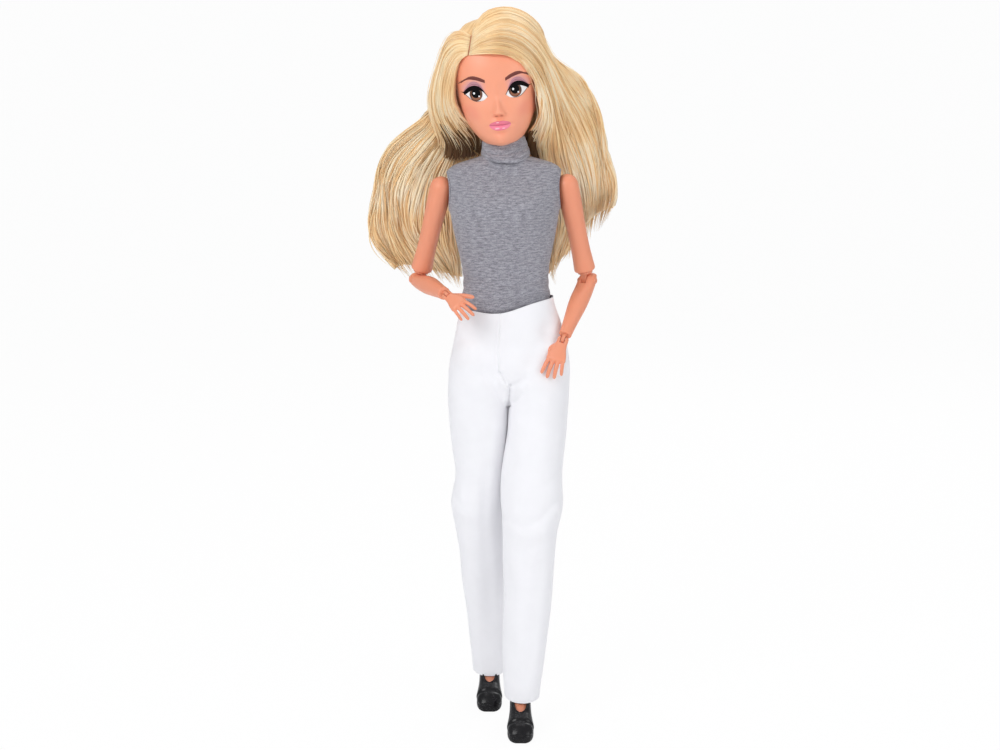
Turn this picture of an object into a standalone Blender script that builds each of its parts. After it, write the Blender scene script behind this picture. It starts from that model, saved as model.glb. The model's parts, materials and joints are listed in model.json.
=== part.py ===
"""Jointed fashion doll in a sleeveless turtleneck top, long trousers and platform ankle boots.

The doll faces -Y with +X at its own left hand, and it stands on the XY plane. Every body of the
skeleton is an empty on its joint, posed by the stance angles below, and each piece is modelled in
the straight frame of the body that carries it.
"""

import math

import bmesh
import bpy
from mathutils import Matrix, Quaternion, Vector

MM = 0.001
EMPTY_SIZE = 5 * MM

# Clearances that all pieces share
GAP = 0.3 * MM
PLAY = 0.25 * MM
OVERRUN = 1.5 * MM

# Roundness of the meshes
BODY_SIDES = 20
LIMB_SIDES = 12
PIN_SIDES = 8
CLOTH_SIDES = 18
SLOT_STEPS = 10

# Stance: degrees away from a straight, upright doll
BODY_LEAN_DEGREES = 1.5
WAIST_TWIST_DEGREES = 0.0
WAIST_SIDE_BEND_DEGREES = 0.0
WAIST_FORWARD_BEND_DEGREES = 0.0
HEAD_NOD_DEGREES = 0.0
HEAD_TILT_DEGREES = 5.5
HEAD_TURN_DEGREES = -1.0
ARM_SWING_DEGREES = {"left": -12.0, "right": -16.5}
ARM_RAISE_DEGREES = {"left": 11.0, "right": 14.5}
ELBOW_SWIVEL_DEGREES = {"left": -29.6, "right": -20.1}
ELBOW_BEND_DEGREES = {"left": 63.2, "right": 106.0}
WRIST_SWIVEL_DEGREES = {"left": 25.5, "right": 45.9}
WRIST_BEND_DEGREES = {"left": 11.7, "right": 25.3}
LEG_SWING_DEGREES = {"left": 14.5, "right": -1.9}
LEG_SPREAD_DEGREES = {"left": -1.1, "right": 2.3}
FRONT_KNEE_BEND_DEGREES = 11.6

# Which way each side faces along X
SIDE = {"left": 1, "right": -1}

# Skeleton
HIP_HALF_SPAN = 12.8 * MM
HIP_TO_THIGH_CUT = 20 * MM
THIGH_CUT_TO_KNEE = 33 * MM
KNEE_INSET = 2.0 * MM
KNEE_TO_ANKLE = 70 * MM
ANKLE_INSET = 5.5 * MM
WAIST_RISE = 46 * MM
SHOULDER_RISE = 36 * MM
SHOULDER_HALF_SPAN = 25.9 * MM
SHOULDER_SET_BACK = 1.0 * MM
SHOULDER_TO_ELBOW = 42.5 * MM
ELBOW_TO_WRIST = 32 * MM

# Pelvis
HIP_FLESH = 9.5 * MM
PELVIS_HALF_WIDTH = HIP_HALF_SPAN + HIP_FLESH
PELVIS_FRONT = 11.5 * MM
PELVIS_BACK = 13 * MM
PELVIS_TOP = 40 * MM
CROTCH_DROP = 6.5 * MM
PELVIS_SHARES = (
    # height over the hip line as a share of the top, then width, front and back
    (0.00, 0.90, 0.95, 0.98),
    (0.15, 0.99, 1.00, 1.00),
    (0.40, 0.96, 0.96, 0.92),
    (0.65, 0.80, 0.86, 0.76),
    (0.85, 0.70, 0.80, 0.66),
    (1.00, 0.66, 0.78, 0.62),
)
CROTCH_SHARES = ((1.00, 0.25, 0.40, 0.42), (0.55, 0.62, 0.76, 0.80))
SEAM_GAP = 0.3 * MM

# Hips
HIP_BALL = 10.8 * MM
HIP_SWING_FORWARD_DEGREES = 90.0
HIP_SWING_BACK_DEGREES = 25.0
HIP_AXLE = 2.0 * MM
HIP_KNUCKLE = 3.3 * MM
HIP_KNUCKLE_HALF = 2.4 * MM
HIP_PIN = 1.0 * MM
PIN_HALF_SHARE = 0.84
HIP_BALL_SHARES = (0.97, 0.82, 0.52, 0.18, -0.18)
PELVIS_WEB = 3.4 * MM

# Waist and neck universal joints
WAIST_BALL = 2.7 * MM
WAIST_TRUNNION = 0.9 * MM
WAIST_EAR_IN = 3.3 * MM
WAIST_EAR = 1.7 * MM
WAIST_EAR_HALF = 1.9 * MM
WAIST_DISC = 6.0 * MM
WAIST_DISC_THICK = 1.4 * MM
WAIST_POST = 2.5 * MM
WAIST_POST_LENGTH = 9 * MM
NECK_BALL = 2.1 * MM
NECK_TRUNNION = 0.7 * MM
NECK_EAR_IN = 2.6 * MM
NECK_EAR = 1.2 * MM
NECK_EAR_HALF = 1.5 * MM
NECK_EAR_HEIGHT = 4.0 * MM

# Chest
CHEST_HALF_WIDTH = 20.6 * MM
CHEST_FRONT = 15.5 * MM
CHEST_BACK = 11.5 * MM
CHEST_BOTTOM = 5.6 * MM
CHEST_TOP = 46 * MM
NECK_STAND = 7.5 * MM
NECK_RISE = CHEST_TOP + NECK_STAND
NECK_STUMP = 5.0 * MM
CHEST_SHARES = (
    # share of the way from the chest's bottom to its top, then width, front and back
    (0.00, 0.72, 0.62, 0.74),
    (0.18, 0.76, 0.70, 0.80),
    (0.36, 0.86, 0.94, 0.88),
    (0.52, 0.94, 1.00, 0.96),
    (0.68, 0.98, 0.82, 1.00),
    (0.84, 0.99, 0.58, 0.96),
    (0.94, 0.90, 0.46, 0.80),
    (1.00, 0.52, 0.38, 0.52),
)

# Head
HEAD_HALF_WIDTH = 18.2 * MM
HEAD_FRONT = 17.5 * MM
HEAD_BACK = 20 * MM
HEAD_BOTTOM = 1.0 * MM
HEAD_HEIGHT = 49 * MM
HEAD_WALL = 2.0 * MM
NECK_PLUG_FLANGE = 4.6 * MM
NECK_PLUG_POST = 3.4 * MM
NECK_PLUG_POST_LENGTH = 5.5 * MM
NECK_PLUG_KNOB = 4.9 * MM
HEAD_SHARES = (
    # share of the head's height, then width, front, back and the centre's shift along Y
    (0.000, 0.26, 0.62, 0.10, -0.20),
    (0.035, 0.42, 0.78, 0.26, -0.10),
    (0.110, 0.60, 0.90, 0.42, 0.00),
    (0.200, 0.76, 0.95, 0.60, 0.00),
    (0.320, 0.90, 0.97, 0.80, 0.00),
    (0.460, 0.98, 0.97, 0.95, 0.00),
    (0.600, 1.00, 1.00, 1.00, 0.00),
    (0.740, 0.97, 0.96, 0.98, 0.00),
    (0.860, 0.84, 0.80, 0.86, 0.00),
    (0.950, 0.58, 0.52, 0.60, 0.00),
    (1.000, 0.20, 0.18, 0.22, 0.00),
)
NOSE_HEIGHT_SHARE = 0.27
NOSE_REACH = 2.6 * MM
NOSE_HALF_WIDTH = 1.9 * MM
NOSE_LENGTH = 7.5 * MM

# Arms
SHOULDER_BALL = 4.6 * MM
SHOULDER_BALL_SHARES = (0.97, 0.75, 0.40, 0.0)
SHOULDER_AXLE = 1.3 * MM
SHOULDER_KNUCKLE = 2.2 * MM
SHOULDER_KNUCKLE_HALF = 1.6 * MM
SHOULDER_PIN = 0.6 * MM
SHOULDER_AXLE_SEAT = 5 * MM
UPPER_ARM_WIDTH = 4.3 * MM
UPPER_ARM_SHARES = (
    # share of the way from the shoulder to the elbow rim, then half width and half depth
    (0.10, 1.03, 1.05),
    (0.28, 1.00, 1.04),
    (0.55, 0.92, 0.98),
    (0.82, 0.94, 0.96),
    (0.97, 1.02, 0.98),
    (1.00, 0.99, 0.95),
)
ELBOW_RISE = 4.9 * MM
ELBOW_PEG = 1.9 * MM
ELBOW_PEG_LENGTH = 5 * MM
ELBOW_COLLAR = 3.2 * MM
ELBOW_COLLAR_THICK = 0.8 * MM
ELBOW_TAB = 2.3 * MM
ELBOW_TAB_HALF = 1.2 * MM
ELBOW_CHEEK = 3.4 * MM
ELBOW_PIN = 0.6 * MM
FOREARM_WIDTH = 4.1 * MM
FOREARM_SHARES = (
    # share of the way from the elbow to the wrist rim, then half width, front and back
    (0.04, 0.97, 0.62, 0.86),
    (0.14, 0.99, 0.60, 0.92),
    (0.26, 1.00, 0.82, 0.96),
    (0.45, 0.94, 0.90, 0.92),
    (0.80, 0.67, 0.67, 0.67),
    (1.00, 0.60, 0.62, 0.62),
)
WRIST_RISE = 2.6 * MM
WRIST_PEG = 1.1 * MM
WRIST_PEG_LENGTH = 3.4 * MM
WRIST_COLLAR = 1.7 * MM
WRIST_COLLAR_THICK = 0.5 * MM
WRIST_TAB = 1.3 * MM
WRIST_TAB_HALF = 0.7 * MM
WRIST_CHEEK = 1.55 * MM
WRIST_PIN = 0.4 * MM

# Hands
HAND_HALF_WIDTH = 3.3 * MM
HAND_HALF_THICK = 1.5 * MM
PALM_LENGTH = 8.6 * MM
PALM_SHARES = (
    # share of the palm's length, then half width and half thickness
    (0.00, 0.62, 1.03),
    (0.20, 0.64, 1.00),
    (0.45, 0.88, 0.96),
    (0.75, 1.00, 0.86),
    (1.00, 0.96, 0.72),
)
FINGER_LENGTH = 7.6 * MM
FINGER_RADIUS = 0.82 * MM
FINGER_PLACE_SHARES = (-0.76, -0.26, 0.26, 0.76)
FINGER_LENGTH_SHARES = (0.88, 1.00, 0.95, 0.74)
FINGER_SHARES = ((-0.12, 0.95), (0.45, 1.0), (0.88, 0.85), (1.0, 0.40))
FINGER_FAN_DEGREES = 4.5
FINGER_CURL_DEGREES = 14.0
THUMB_LENGTH = 6.6 * MM
THUMB_RADIUS = 0.95 * MM
THUMB_DEGREES = 40.0

# Legs
THIGH_CUT_RADIUS = 9.9 * MM
THIGH_POST = 3.0 * MM
THIGH_POST_LENGTH = 6 * MM
THIGH_SHARES = (
    # share of the way from the cut to the knee, then half width, front and back
    (0.00, 1.00, 1.00, 1.00),
    (0.25, 0.91, 0.97, 0.95),
    (0.50, 0.81, 0.88, 0.82),
    (0.75, 0.72, 0.72, 0.60),
    (0.90, 0.69, 0.68, 0.56),
)
KNEE_CHEEK = 6.4 * MM
KNEE_TAB = 5.6 * MM
KNEE_TAB_HALF = 2.3 * MM
KNEE_PIN = 1.0 * MM
SHIN_WIDTH = 7.4 * MM
SHIN_TOP = 7.0 * MM
SHIN_SHARES = (
    # share of the way from the shin's rim to the ankle, then half width, front and back
    (0.00, 0.92, 0.82, 0.72),
    (0.10, 0.94, 0.84, 0.86),
    (0.28, 0.93, 0.76, 1.02),
    (0.50, 0.80, 0.66, 0.86),
    (0.72, 0.58, 0.52, 0.60),
    (0.90, 0.47, 0.44, 0.48),
)
ANKLE_CHEEK = 3.1 * MM
ANKLE_TAB = 2.6 * MM
ANKLE_TAB_HALF = 1.3 * MM
ANKLE_PIN = 0.6 * MM
FOOT_TOP = 3.6 * MM

# Feet and boots: lengths from the ankle forwards and back, heights under the ankle
ANKLE_HEIGHT = 23 * MM
BOOT_TOE = 22 * MM
BOOT_HEEL = 9 * MM
BOOT_HALF_WIDTH = 5.4 * MM
BOOT_SHARES = (
    # place from heel 0 to toe 1, then half width, underside and top as shares of the ankle height
    (0.00, 0.55, 0.50, 0.340),
    (0.05, 0.72, 0.60, 0.240),
    (0.20, 0.82, 0.68, 0.215),
    (0.38, 0.84, 0.74, 0.240),
    (0.52, 0.86, 0.86, 0.370),
    (0.64, 0.92, 0.97, 0.510),
    (0.76, 1.00, 1.00, 0.630),
    (0.88, 1.00, 1.00, 0.700),
    (0.96, 0.82, 1.00, 0.780),
    (1.00, 0.45, 0.97, 0.860),
)
FOOT_SHARES = (
    (0.07, 0.45, 0.42, 0.360),
    (0.16, 0.56, 0.52, 0.157),
    (0.40, 0.58, 0.58, 0.157),
    (0.50, 0.60, 0.66, 0.410),
    (0.62, 0.66, 0.78, 0.575),
    (0.74, 0.74, 0.82, 0.690),
    (0.86, 0.72, 0.83, 0.765),
    (0.92, 0.48, 0.86, 0.810),
)
HEEL_FRONT_SHARE = 0.30
HEEL_BACK_SHARE = 0.03
HEEL_HALF_WIDTH = 3.7 * MM
HEEL_INTO_SOLE_SHARE = 0.60
V_HALF_WIDTH = 3.4 * MM
V_LENGTH_SHARE = 0.30
V_END_SHARE = 0.70

# Knit top
KNIT_WALL = 0.7 * MM
KNIT_EASE = 0.4 * MM
KNIT_HEM_DROP = 19 * MM
KNIT_SHARES = (
    # share of the way from the hem to the collar seam, then width, front and back of the chest sizes
    (0.00, 0.870, 0.66, 0.86),
    (0.14, 0.815, 0.63, 0.81),
    (0.28, 0.81, 0.66, 0.80),
    (0.42, 0.855, 0.80, 0.90),
    (0.58, 0.96, 1.02, 0.98),
    (0.70, 1.01, 1.06, 1.04),
    (0.82, 1.03, 0.88, 1.06),
    (0.915, 1.04, 0.66, 1.04),
    (0.968, 0.98, 0.56, 0.92),
    (1.00, 0.66, 0.52, 0.66),
)
ARMHOLE = 7.6 * MM
ARMHOLE_DEPTH = 4.4 * MM
COLLAR_RADIUS = 8.8 * MM
COLLAR_WALL = 1.2 * MM
COLLAR_HEIGHT_SHARE = 0.69
COLLAR_SHARES = ((0.00, 1.02), (0.22, 1.10), (0.45, 1.05), (0.75, 0.97), (1.00, 0.96))
CLOSURE_WIDTH = 5.5 * MM
CLOSURE_THICK = 0.8 * MM

# Trousers
TROUSER_WALL = 0.7 * MM
TROUSER_EASE = 3 * MM
TROUSER_HALF_WIDTH = PELVIS_HALF_WIDTH + TROUSER_EASE
TROUSER_DEPTH = 14.0 * MM
TROUSER_RISE = 34 * MM
TROUSER_SLANT = 2.0 * MM
TROUSER_SPLIT = -7.5 * MM
SEAT_SHARES = (
    # share of the way from the split up to the waist edge, then width, front, back and X shift
    (0.00, 0.985, 1.10, 1.04, 0.000),
    (0.22, 1.00, 1.05, 1.08, 0.000),
    (0.50, 0.985, 0.99, 1.06, 0.004),
    (0.72, 0.90, 0.95, 0.95, 0.012),
    (0.89, 0.80, 0.91, 0.88, 0.014),
    (1.00, 0.775, 0.90, 0.86, 0.012),
)
TROUSER_SQUARENESS = 2.7
LEG_CLOTH = {"left": 11.6 * MM, "right": 10.9 * MM}
LEG_CLOTH_DEPTH = 11.2 * MM
LEG_CLOTH_SHIFT = {"left": -0.2 * MM, "right": -1.1 * MM}
THIGH_TUBE_SHARES = ((0.10, 1.12, 1.16), (0.45, 1.03, 1.05), (0.80, 1.0, 1.0))
SHIN_TUBE_SHARES = ((0.24, 0.96), (0.50, 0.84), (0.80, 0.72))
KNEE_BULGE_SHARE = 1.05
HEM_CLOTH = 7.0 * MM
HEM_DEPTH = 9.8 * MM
HEM_SET_BACK = 0.9 * MM
HEM_RISE = 15.4 * MM
THIGH_FOLD = 0.45 * MM
SHIN_FOLD = 0.5 * MM

# Hair: heights, sideways places and depths from the neck joint
HAIR_CAP = 4.3 * MM
HAIR_GAP = 0.4 * MM
FACE_HALF_WIDTH = 17.4 * MM
FACE_HALF_HEIGHT = 21 * MM
FACE_CENTRE = 15.5 * MM
HAIRLINE_SETBACK = 3.0 * MM
HAIR_DROP = 59 * MM
HAIR_SPREAD = 56 * MM
HAIR_BACK = 35 * MM
HAIR_WAVE = 0.5 * MM
HAIR_SIDES = 16
RIGHT_FALL_SHARES = (
    # height, outer and inner edge, front and back
    (0.51, -0.540, -0.250, -0.06, 0.40),
    (0.34, -0.550, -0.270, -0.08, 0.46),
    (0.19, -0.570, -0.250, -0.03, 0.51),
    (0.07, -0.780, -0.250, 0.06, 0.57),
    (-0.11, -0.910, -0.240, 0.37, 0.71),
    (-0.28, -0.965, -0.240, 0.44, 0.81),
    (-0.46, -1.000, -0.250, 0.50, 0.89),
    (-0.63, -1.000, -0.260, 0.57, 0.97),
    (-0.79, -0.950, -0.285, 0.65, 1.00),
    (-0.915, -0.820, -0.320, 0.70, 0.97),
    (-1.00, -0.680, -0.375, 0.75, 0.91),
)
LEFT_FALL_SHARES = (
    (0.56, 0.23, 0.520, -0.06, 0.34),
    (0.44, 0.27, 0.630, -0.06, 0.43),
    (0.33, 0.27, 0.705, -0.03, 0.51),
    (0.195, 0.23, 0.770, 0.00, 0.57),
    (0.06, 0.22, 0.800, 0.09, 0.63),
    (-0.11, 0.22, 0.840, 0.37, 0.73),
    (-0.26, 0.22, 0.875, 0.44, 0.81),
    (-0.43, 0.23, 0.850, 0.50, 0.885),
    (-0.55, 0.25, 0.785, 0.57, 0.94),
    (-0.66, 0.26, 0.660, 0.63, 0.97),
    (-0.83, 0.27, 0.520, 0.66, 0.97),
    (-0.98, 0.285, 0.430, 0.70, 0.885),
)
BACK_FALL_SHARES = (
    (0.34, -0.215, 0.195, 0.38, 0.77),
    (0.14, -0.230, 0.210, 0.34, 0.80),
    (0.00, -0.230, 0.210, 0.34, 0.83),
    (-0.11, -0.230, 0.210, 0.44, 0.86),
    (-0.28, -0.230, 0.210, 0.45, 0.89),
    (-0.63, -0.240, 0.220, 0.50, 0.97),
    (-0.88, -0.240, 0.230, 0.60, 0.97),
    (-1.00, -0.200, 0.190, 0.69, 0.89),
)


def clear_scene():
    """Start from an empty scene."""
    for old in list(bpy.data.objects):
        bpy.data.objects.remove(old, do_unlink=True)


def material(name, colour, roughness, metallic=0.0):
    """A plain Principled material, made once for each name."""
    found = bpy.data.materials.get(name)
    if found:
        return found
    made = bpy.data.materials.new(name)
    made.use_nodes = True
    shader = made.node_tree.nodes["Principled BSDF"]
    shader.inputs["Base Color"].default_value = (*colour, 1.0)
    shader.inputs["Roughness"].default_value = roughness
    shader.inputs["Metallic"].default_value = metallic
    return made


def skin_vinyl():
    return material("skin_vinyl", (0.90, 0.45, 0.28), 0.42)


def joint_plastic():
    return material("joint_plastic", (0.82, 0.40, 0.25), 0.38)


def hair_fibre():
    return material("hair_fibre", (0.80, 0.58, 0.26), 0.40)


def knit_fabric():
    return material("knit_fabric", (0.24, 0.25, 0.27), 0.92)


def trouser_fabric():
    return material("trouser_fabric", (0.86, 0.86, 0.88), 0.80)


def boot_vinyl():
    return material("boot_vinyl", (0.012, 0.012, 0.014), 0.28)


FRAMES = {}


def frame(name, parent, place, *turns):
    """An empty on a joint: its place in the parent's straight frame, then its rest turns."""
    made = bpy.data.objects.new("frame_" + name, None)
    made.empty_display_size = EMPTY_SIZE
    bpy.context.scene.collection.objects.link(made)
    made.parent = FRAMES.get(parent)
    made.location = place
    made.rotation_mode = "QUATERNION"
    total = Quaternion()
    for axis, degrees in turns:
        total = total @ Quaternion(axis, math.radians(degrees))
    made.rotation_quaternion = total
    FRAMES[name] = made
    return made


def turn(axis, degrees):
    return Matrix.Rotation(math.radians(degrees), 4, Vector(axis))


def knee_bend_to_floor(side, level):
    """The knee bend in degrees that brings a leg's ankle down to a level in the root frame."""
    s = SIDE[side]
    hip = turn((0, -1, 0), BODY_LEAN_DEGREES) @ Matrix.Translation((s * HIP_HALF_SPAN, 0, 0))
    thigh = hip @ turn((-1, 0, 0), LEG_SWING_DEGREES[side]) @ turn((0, -s, 0), LEG_SPREAD_DEGREES[side])
    knee = thigh @ Matrix.Translation((-s * KNEE_INSET, 0, -HIP_TO_THIGH_CUT - THIGH_CUT_TO_KNEE))
    up = Vector((0, 0, 1))
    straight = up.dot(knee.to_3x3() @ Vector((0, 0, -KNEE_TO_ANKLE)))
    square = up.dot(knee.to_3x3() @ Vector((0, KNEE_TO_ANKLE, 0)))
    inset = up.dot(knee.to_3x3() @ Vector((-s * ANKLE_INSET, 0, 0)))
    wanted = level - knee.translation.z - inset
    reach = math.hypot(straight, square)
    return math.degrees(math.acos(max(-1.0, min(1.0, -wanted / reach))) - math.atan2(square, -straight))


def ankle_level(side, knee_bend):
    """How high the ankle lies in the root frame for a knee bend."""
    s = SIDE[side]
    chain = turn((0, -1, 0), BODY_LEAN_DEGREES) @ Matrix.Translation((s * HIP_HALF_SPAN, 0, 0))
    chain = chain @ turn((-1, 0, 0), LEG_SWING_DEGREES[side]) @ turn((0, -s, 0), LEG_SPREAD_DEGREES[side])
    chain = chain @ Matrix.Translation((-s * KNEE_INSET, 0, -HIP_TO_THIGH_CUT - THIGH_CUT_TO_KNEE))
    chain = chain @ turn((1, 0, 0), knee_bend)
    return (chain @ Vector((-s * ANKLE_INSET, 0, -KNEE_TO_ANKLE))).z


def build_skeleton():
    """All the bodies as posed empties, from the pelvis outwards."""
    frame("root", None, (0, 0, 0))
    frame("pelvis", "root", (0, 0, 0), ((0, -1, 0), BODY_LEAN_DEGREES))
    frame("waist_swivel", "pelvis", (0, 0, WAIST_RISE), ((0, 0, 1), WAIST_TWIST_DEGREES))
    frame("waist_cross", "waist_swivel", (0, 0, 0), ((0, 1, 0), WAIST_SIDE_BEND_DEGREES))
    frame("chest", "waist_cross", (0, 0, 0), ((1, 0, 0), WAIST_FORWARD_BEND_DEGREES))
    frame("neck_cross", "chest", (0, 0, NECK_RISE), ((1, 0, 0), HEAD_NOD_DEGREES))
    frame("neck_plug", "neck_cross", (0, 0, 0), ((0, -1, 0), HEAD_TILT_DEGREES))
    frame("head", "neck_plug", (0, 0, 0), ((0, 0, 1), HEAD_TURN_DEGREES))
    floor_level = ankle_level("left", FRONT_KNEE_BEND_DEGREES)
    knee_bend = {"left": FRONT_KNEE_BEND_DEGREES, "right": knee_bend_to_floor("right", floor_level)}
    for side, s in SIDE.items():
        at = side + "_"
        shoulder = (s * SHOULDER_HALF_SPAN, SHOULDER_SET_BACK, SHOULDER_RISE)
        frame(at + "shoulder_hub", "chest", shoulder, ((-1, 0, 0), ARM_SWING_DEGREES[side]))
        frame(at + "upper_arm", at + "shoulder_hub", (0, 0, 0), ((0, -s, 0), ARM_RAISE_DEGREES[side]))
        elbow = (0, 0, -SHOULDER_TO_ELBOW)
        frame(at + "elbow", at + "upper_arm", elbow, ((0, 0, s), ELBOW_SWIVEL_DEGREES[side]))
        frame(at + "forearm", at + "elbow", (0, 0, 0), ((-1, 0, 0), ELBOW_BEND_DEGREES[side]))
        wrist = (0, 0, -ELBOW_TO_WRIST)
        frame(at + "wrist", at + "forearm", wrist, ((0, 0, s), WRIST_SWIVEL_DEGREES[side]))
        frame(at + "hand", at + "wrist", (0, 0, 0), ((1, 0, 0), WRIST_BEND_DEGREES[side]))
        frame(at + "hip_hub", "pelvis", (s * HIP_HALF_SPAN, 0, 0), ((-1, 0, 0), LEG_SWING_DEGREES[side]))
        frame(at + "thigh_top", at + "hip_hub", (0, 0, 0), ((0, -s, 0), LEG_SPREAD_DEGREES[side]))
        frame(at + "thigh", at + "thigh_top", (0, 0, -HIP_TO_THIGH_CUT))
        knee = (-s * KNEE_INSET, 0, -THIGH_CUT_TO_KNEE)
        frame(at + "shin", at + "thigh", knee, ((1, 0, 0), knee_bend[side]))
        foot = frame(at + "foot", at + "shin", (-s * ANKLE_INSET, 0, -KNEE_TO_ANKLE))
        bpy.context.view_layer.update()
        level = foot.parent.matrix_world.to_3x3().inverted().to_quaternion()
        foot.rotation_quaternion = level
    bpy.context.view_layer.update()


def ring(height, width, front, back, shift=(0, 0), sides=BODY_SIDES, power=2.0):
    """A level loop of points, its front half towards -Y. The power squares its corners."""
    points = []
    for i in range(sides):
        angle = 2 * math.pi * (i + 0.5) / sides
        across = math.copysign(abs(math.cos(angle)) ** (2 / power), math.cos(angle))
        along = math.copysign(abs(math.sin(angle)) ** (2 / power), math.sin(angle))
        depth = back if along > 0 else front
        points.append(Vector((shift[0] + width * across, shift[1] + depth * along, height)))
    return points


def skinned(rings, hollow=False):
    """A closed mesh over loops of points; a hollow one joins its last loop to its first."""
    mesh = bmesh.new()
    loops = [[mesh.verts.new(point) for point in points] for points in rings]
    count = len(loops[0])
    pairs = list(zip(loops, loops[1:]))
    if hollow:
        pairs.append((loops[-1], loops[0]))
    for low, high in pairs:
        for i in range(count):
            j = (i + 1) % count
            mesh.faces.new((low[i], low[j], high[j], high[i]))
    if not hollow:
        mesh.faces.new(loops[0])
        mesh.faces.new(loops[-1])
    bmesh.ops.recalc_face_normals(mesh, faces=mesh.faces)
    return mesh


def rod(axis, radius, start, end, sides=PIN_SIDES):
    """A cylinder along X, Y or Z."""
    rings = []
    for along in (start, end):
        points = []
        for i in range(sides):
            angle = 2 * math.pi * i / sides
            a, b = radius * math.cos(angle), radius * math.sin(angle)
            points.append(Vector({"X": (along, a, b), "Y": (a, along, b), "Z": (a, b, along)}[axis]))
        rings.append(points)
    return skinned(rings)


def turned(profile, sides=PIN_SIDES):
    """A solid of revolution about Z from (height, radius) pairs."""
    return skinned([ring(height, radius, radius, radius, sides=sides) for height, radius in profile])


def block(low, high):
    """A box between two corners."""
    mesh = bmesh.new()
    middle = [(a + b) / 2 for a, b in zip(low, high)]
    size = [abs(b - a) for a, b in zip(low, high)]
    placed = Matrix.Translation(middle) @ Matrix.Diagonal((*size, 1.0))
    bmesh.ops.create_cube(mesh, size=1.0, matrix=placed)
    return mesh


def ball(radius, sides=16, place=(0, 0, 0)):
    """A sphere with its poles on Z."""
    mesh = bmesh.new()
    placed = Matrix.Translation(place)
    bmesh.ops.create_uvsphere(mesh, u_segments=sides, v_segments=sides // 2, radius=radius, matrix=placed)
    return mesh


def hull(points):
    """The convex body around some points."""
    mesh = bmesh.new()
    for point in points:
        mesh.verts.new(point)
    made = bmesh.ops.convex_hull(mesh, input=mesh.verts)
    inside = {item for item in made["geom_interior"] if isinstance(item, bmesh.types.BMVert)}
    bmesh.ops.delete(mesh, geom=list(inside), context="VERTS")
    bmesh.ops.recalc_face_normals(mesh, faces=mesh.faces)
    return mesh


def tab(radius, reach, half_width, steps=8):
    """A hinge tab about X: a half disc under the axis that runs on up to its reach."""
    outline = [(radius, reach)]
    for i in range(steps + 1):
        angle = -math.pi * i / steps
        outline.append((radius * math.cos(angle), radius * math.sin(angle)))
    outline.append((-radius, reach))
    low = [Vector((-half_width, y, z)) for y, z in outline]
    high = [Vector((half_width, y, z)) for y, z in outline]
    return skinned([low, high])


def made_object(name, mesh, carrier, matrix=None):
    """Link a mesh under the frame that carries it."""
    if matrix:
        bmesh.ops.transform(mesh, matrix=matrix, verts=mesh.verts)
    data = bpy.data.meshes.new(name)
    mesh.to_mesh(data)
    mesh.free()
    made = bpy.data.objects.new(name, data)
    bpy.context.scene.collection.objects.link(made)
    made.parent = FRAMES[carrier]
    return made


def piece(name, mesh, carrier, look, matrix=None):
    """One named piece of the doll."""
    made = made_object(name, mesh, carrier, matrix)
    made.data.materials.append(look)
    made.data.shade_smooth()
    made.data.set_sharp_from_angle(angle=math.radians(40))
    return made


def shape_with(target, operation, mesh, matrix=None):
    """Cut a helper mesh out of a piece, or join it on."""
    helper = made_object(target.name + "_helper", mesh, "root", matrix)
    helper.parent = target.parent
    helper.hide_render = True
    helper.display_type = "WIRE"
    step = target.modifiers.new(operation.lower(), "BOOLEAN")
    step.operation = operation
    step.object = helper
    step.solver = "EXACT"
    return helper


def cut(target, mesh, matrix=None):
    return shape_with(target, "DIFFERENCE", mesh, matrix)


def join(target, mesh, matrix=None):
    return shape_with(target, "UNION", mesh, matrix)


def hip_clearance(s):
    """The space that a leg sweeps from straight back to sitting, as the hull of four balls."""
    reach = PELVIS_HALF_WIDTH * 2
    radius = HIP_BALL + 2 * GAP
    spread = (None, HIP_SWING_FORWARD_DEGREES, HIP_SWING_FORWARD_DEGREES / 3, -HIP_SWING_BACK_DEGREES)
    points = []
    for degrees in spread:
        centre = Vector((s * HIP_HALF_SPAN, 0, 0))
        if degrees is not None:
            lean = math.radians(degrees)
            centre += reach * Vector((0, -math.sin(lean), -math.cos(lean)))
        sphere = ball(radius, 16, centre)
        points += [vert.co.copy() for vert in sphere.verts]
        sphere.free()
    return hull(points)


def pelvis_half(name, keep_front):
    """The front or back moulding of the lower torso, closed round the hip axles and the waist post."""
    rings = []
    for drop, width, front, back in CROTCH_SHARES:
        sizes = (width * PELVIS_HALF_WIDTH, front * PELVIS_FRONT, back * PELVIS_BACK)
        rings.append(ring(-drop * CROTCH_DROP, *sizes))
    for height, width, front, back in PELVIS_SHARES:
        sizes = (width * PELVIS_HALF_WIDTH, front * PELVIS_FRONT, back * PELVIS_BACK)
        rings.append(ring(height * PELVIS_TOP, *sizes))
    made = piece(name, skinned(rings), "pelvis", skin_vinyl())
    for s in SIDE.values():
        cut(made, hip_clearance(s))
    cut(made, rod("X", HIP_AXLE + PLAY, -PELVIS_WEB, PELVIS_WEB, 16))
    bore_bottom = PELVIS_TOP - WAIST_POST_LENGTH - PLAY
    cut(made, rod("Z", WAIST_POST + PLAY, bore_bottom, PELVIS_TOP + OVERRUN, 16))
    wide = 2 * PELVIS_HALF_WIDTH
    side = -SEAM_GAP / 2 if keep_front else SEAM_GAP / 2
    far = wide if keep_front else -wide
    cut(made, block((-wide, side, -wide), (wide, far, PELVIS_TOP + wide)))


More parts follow.
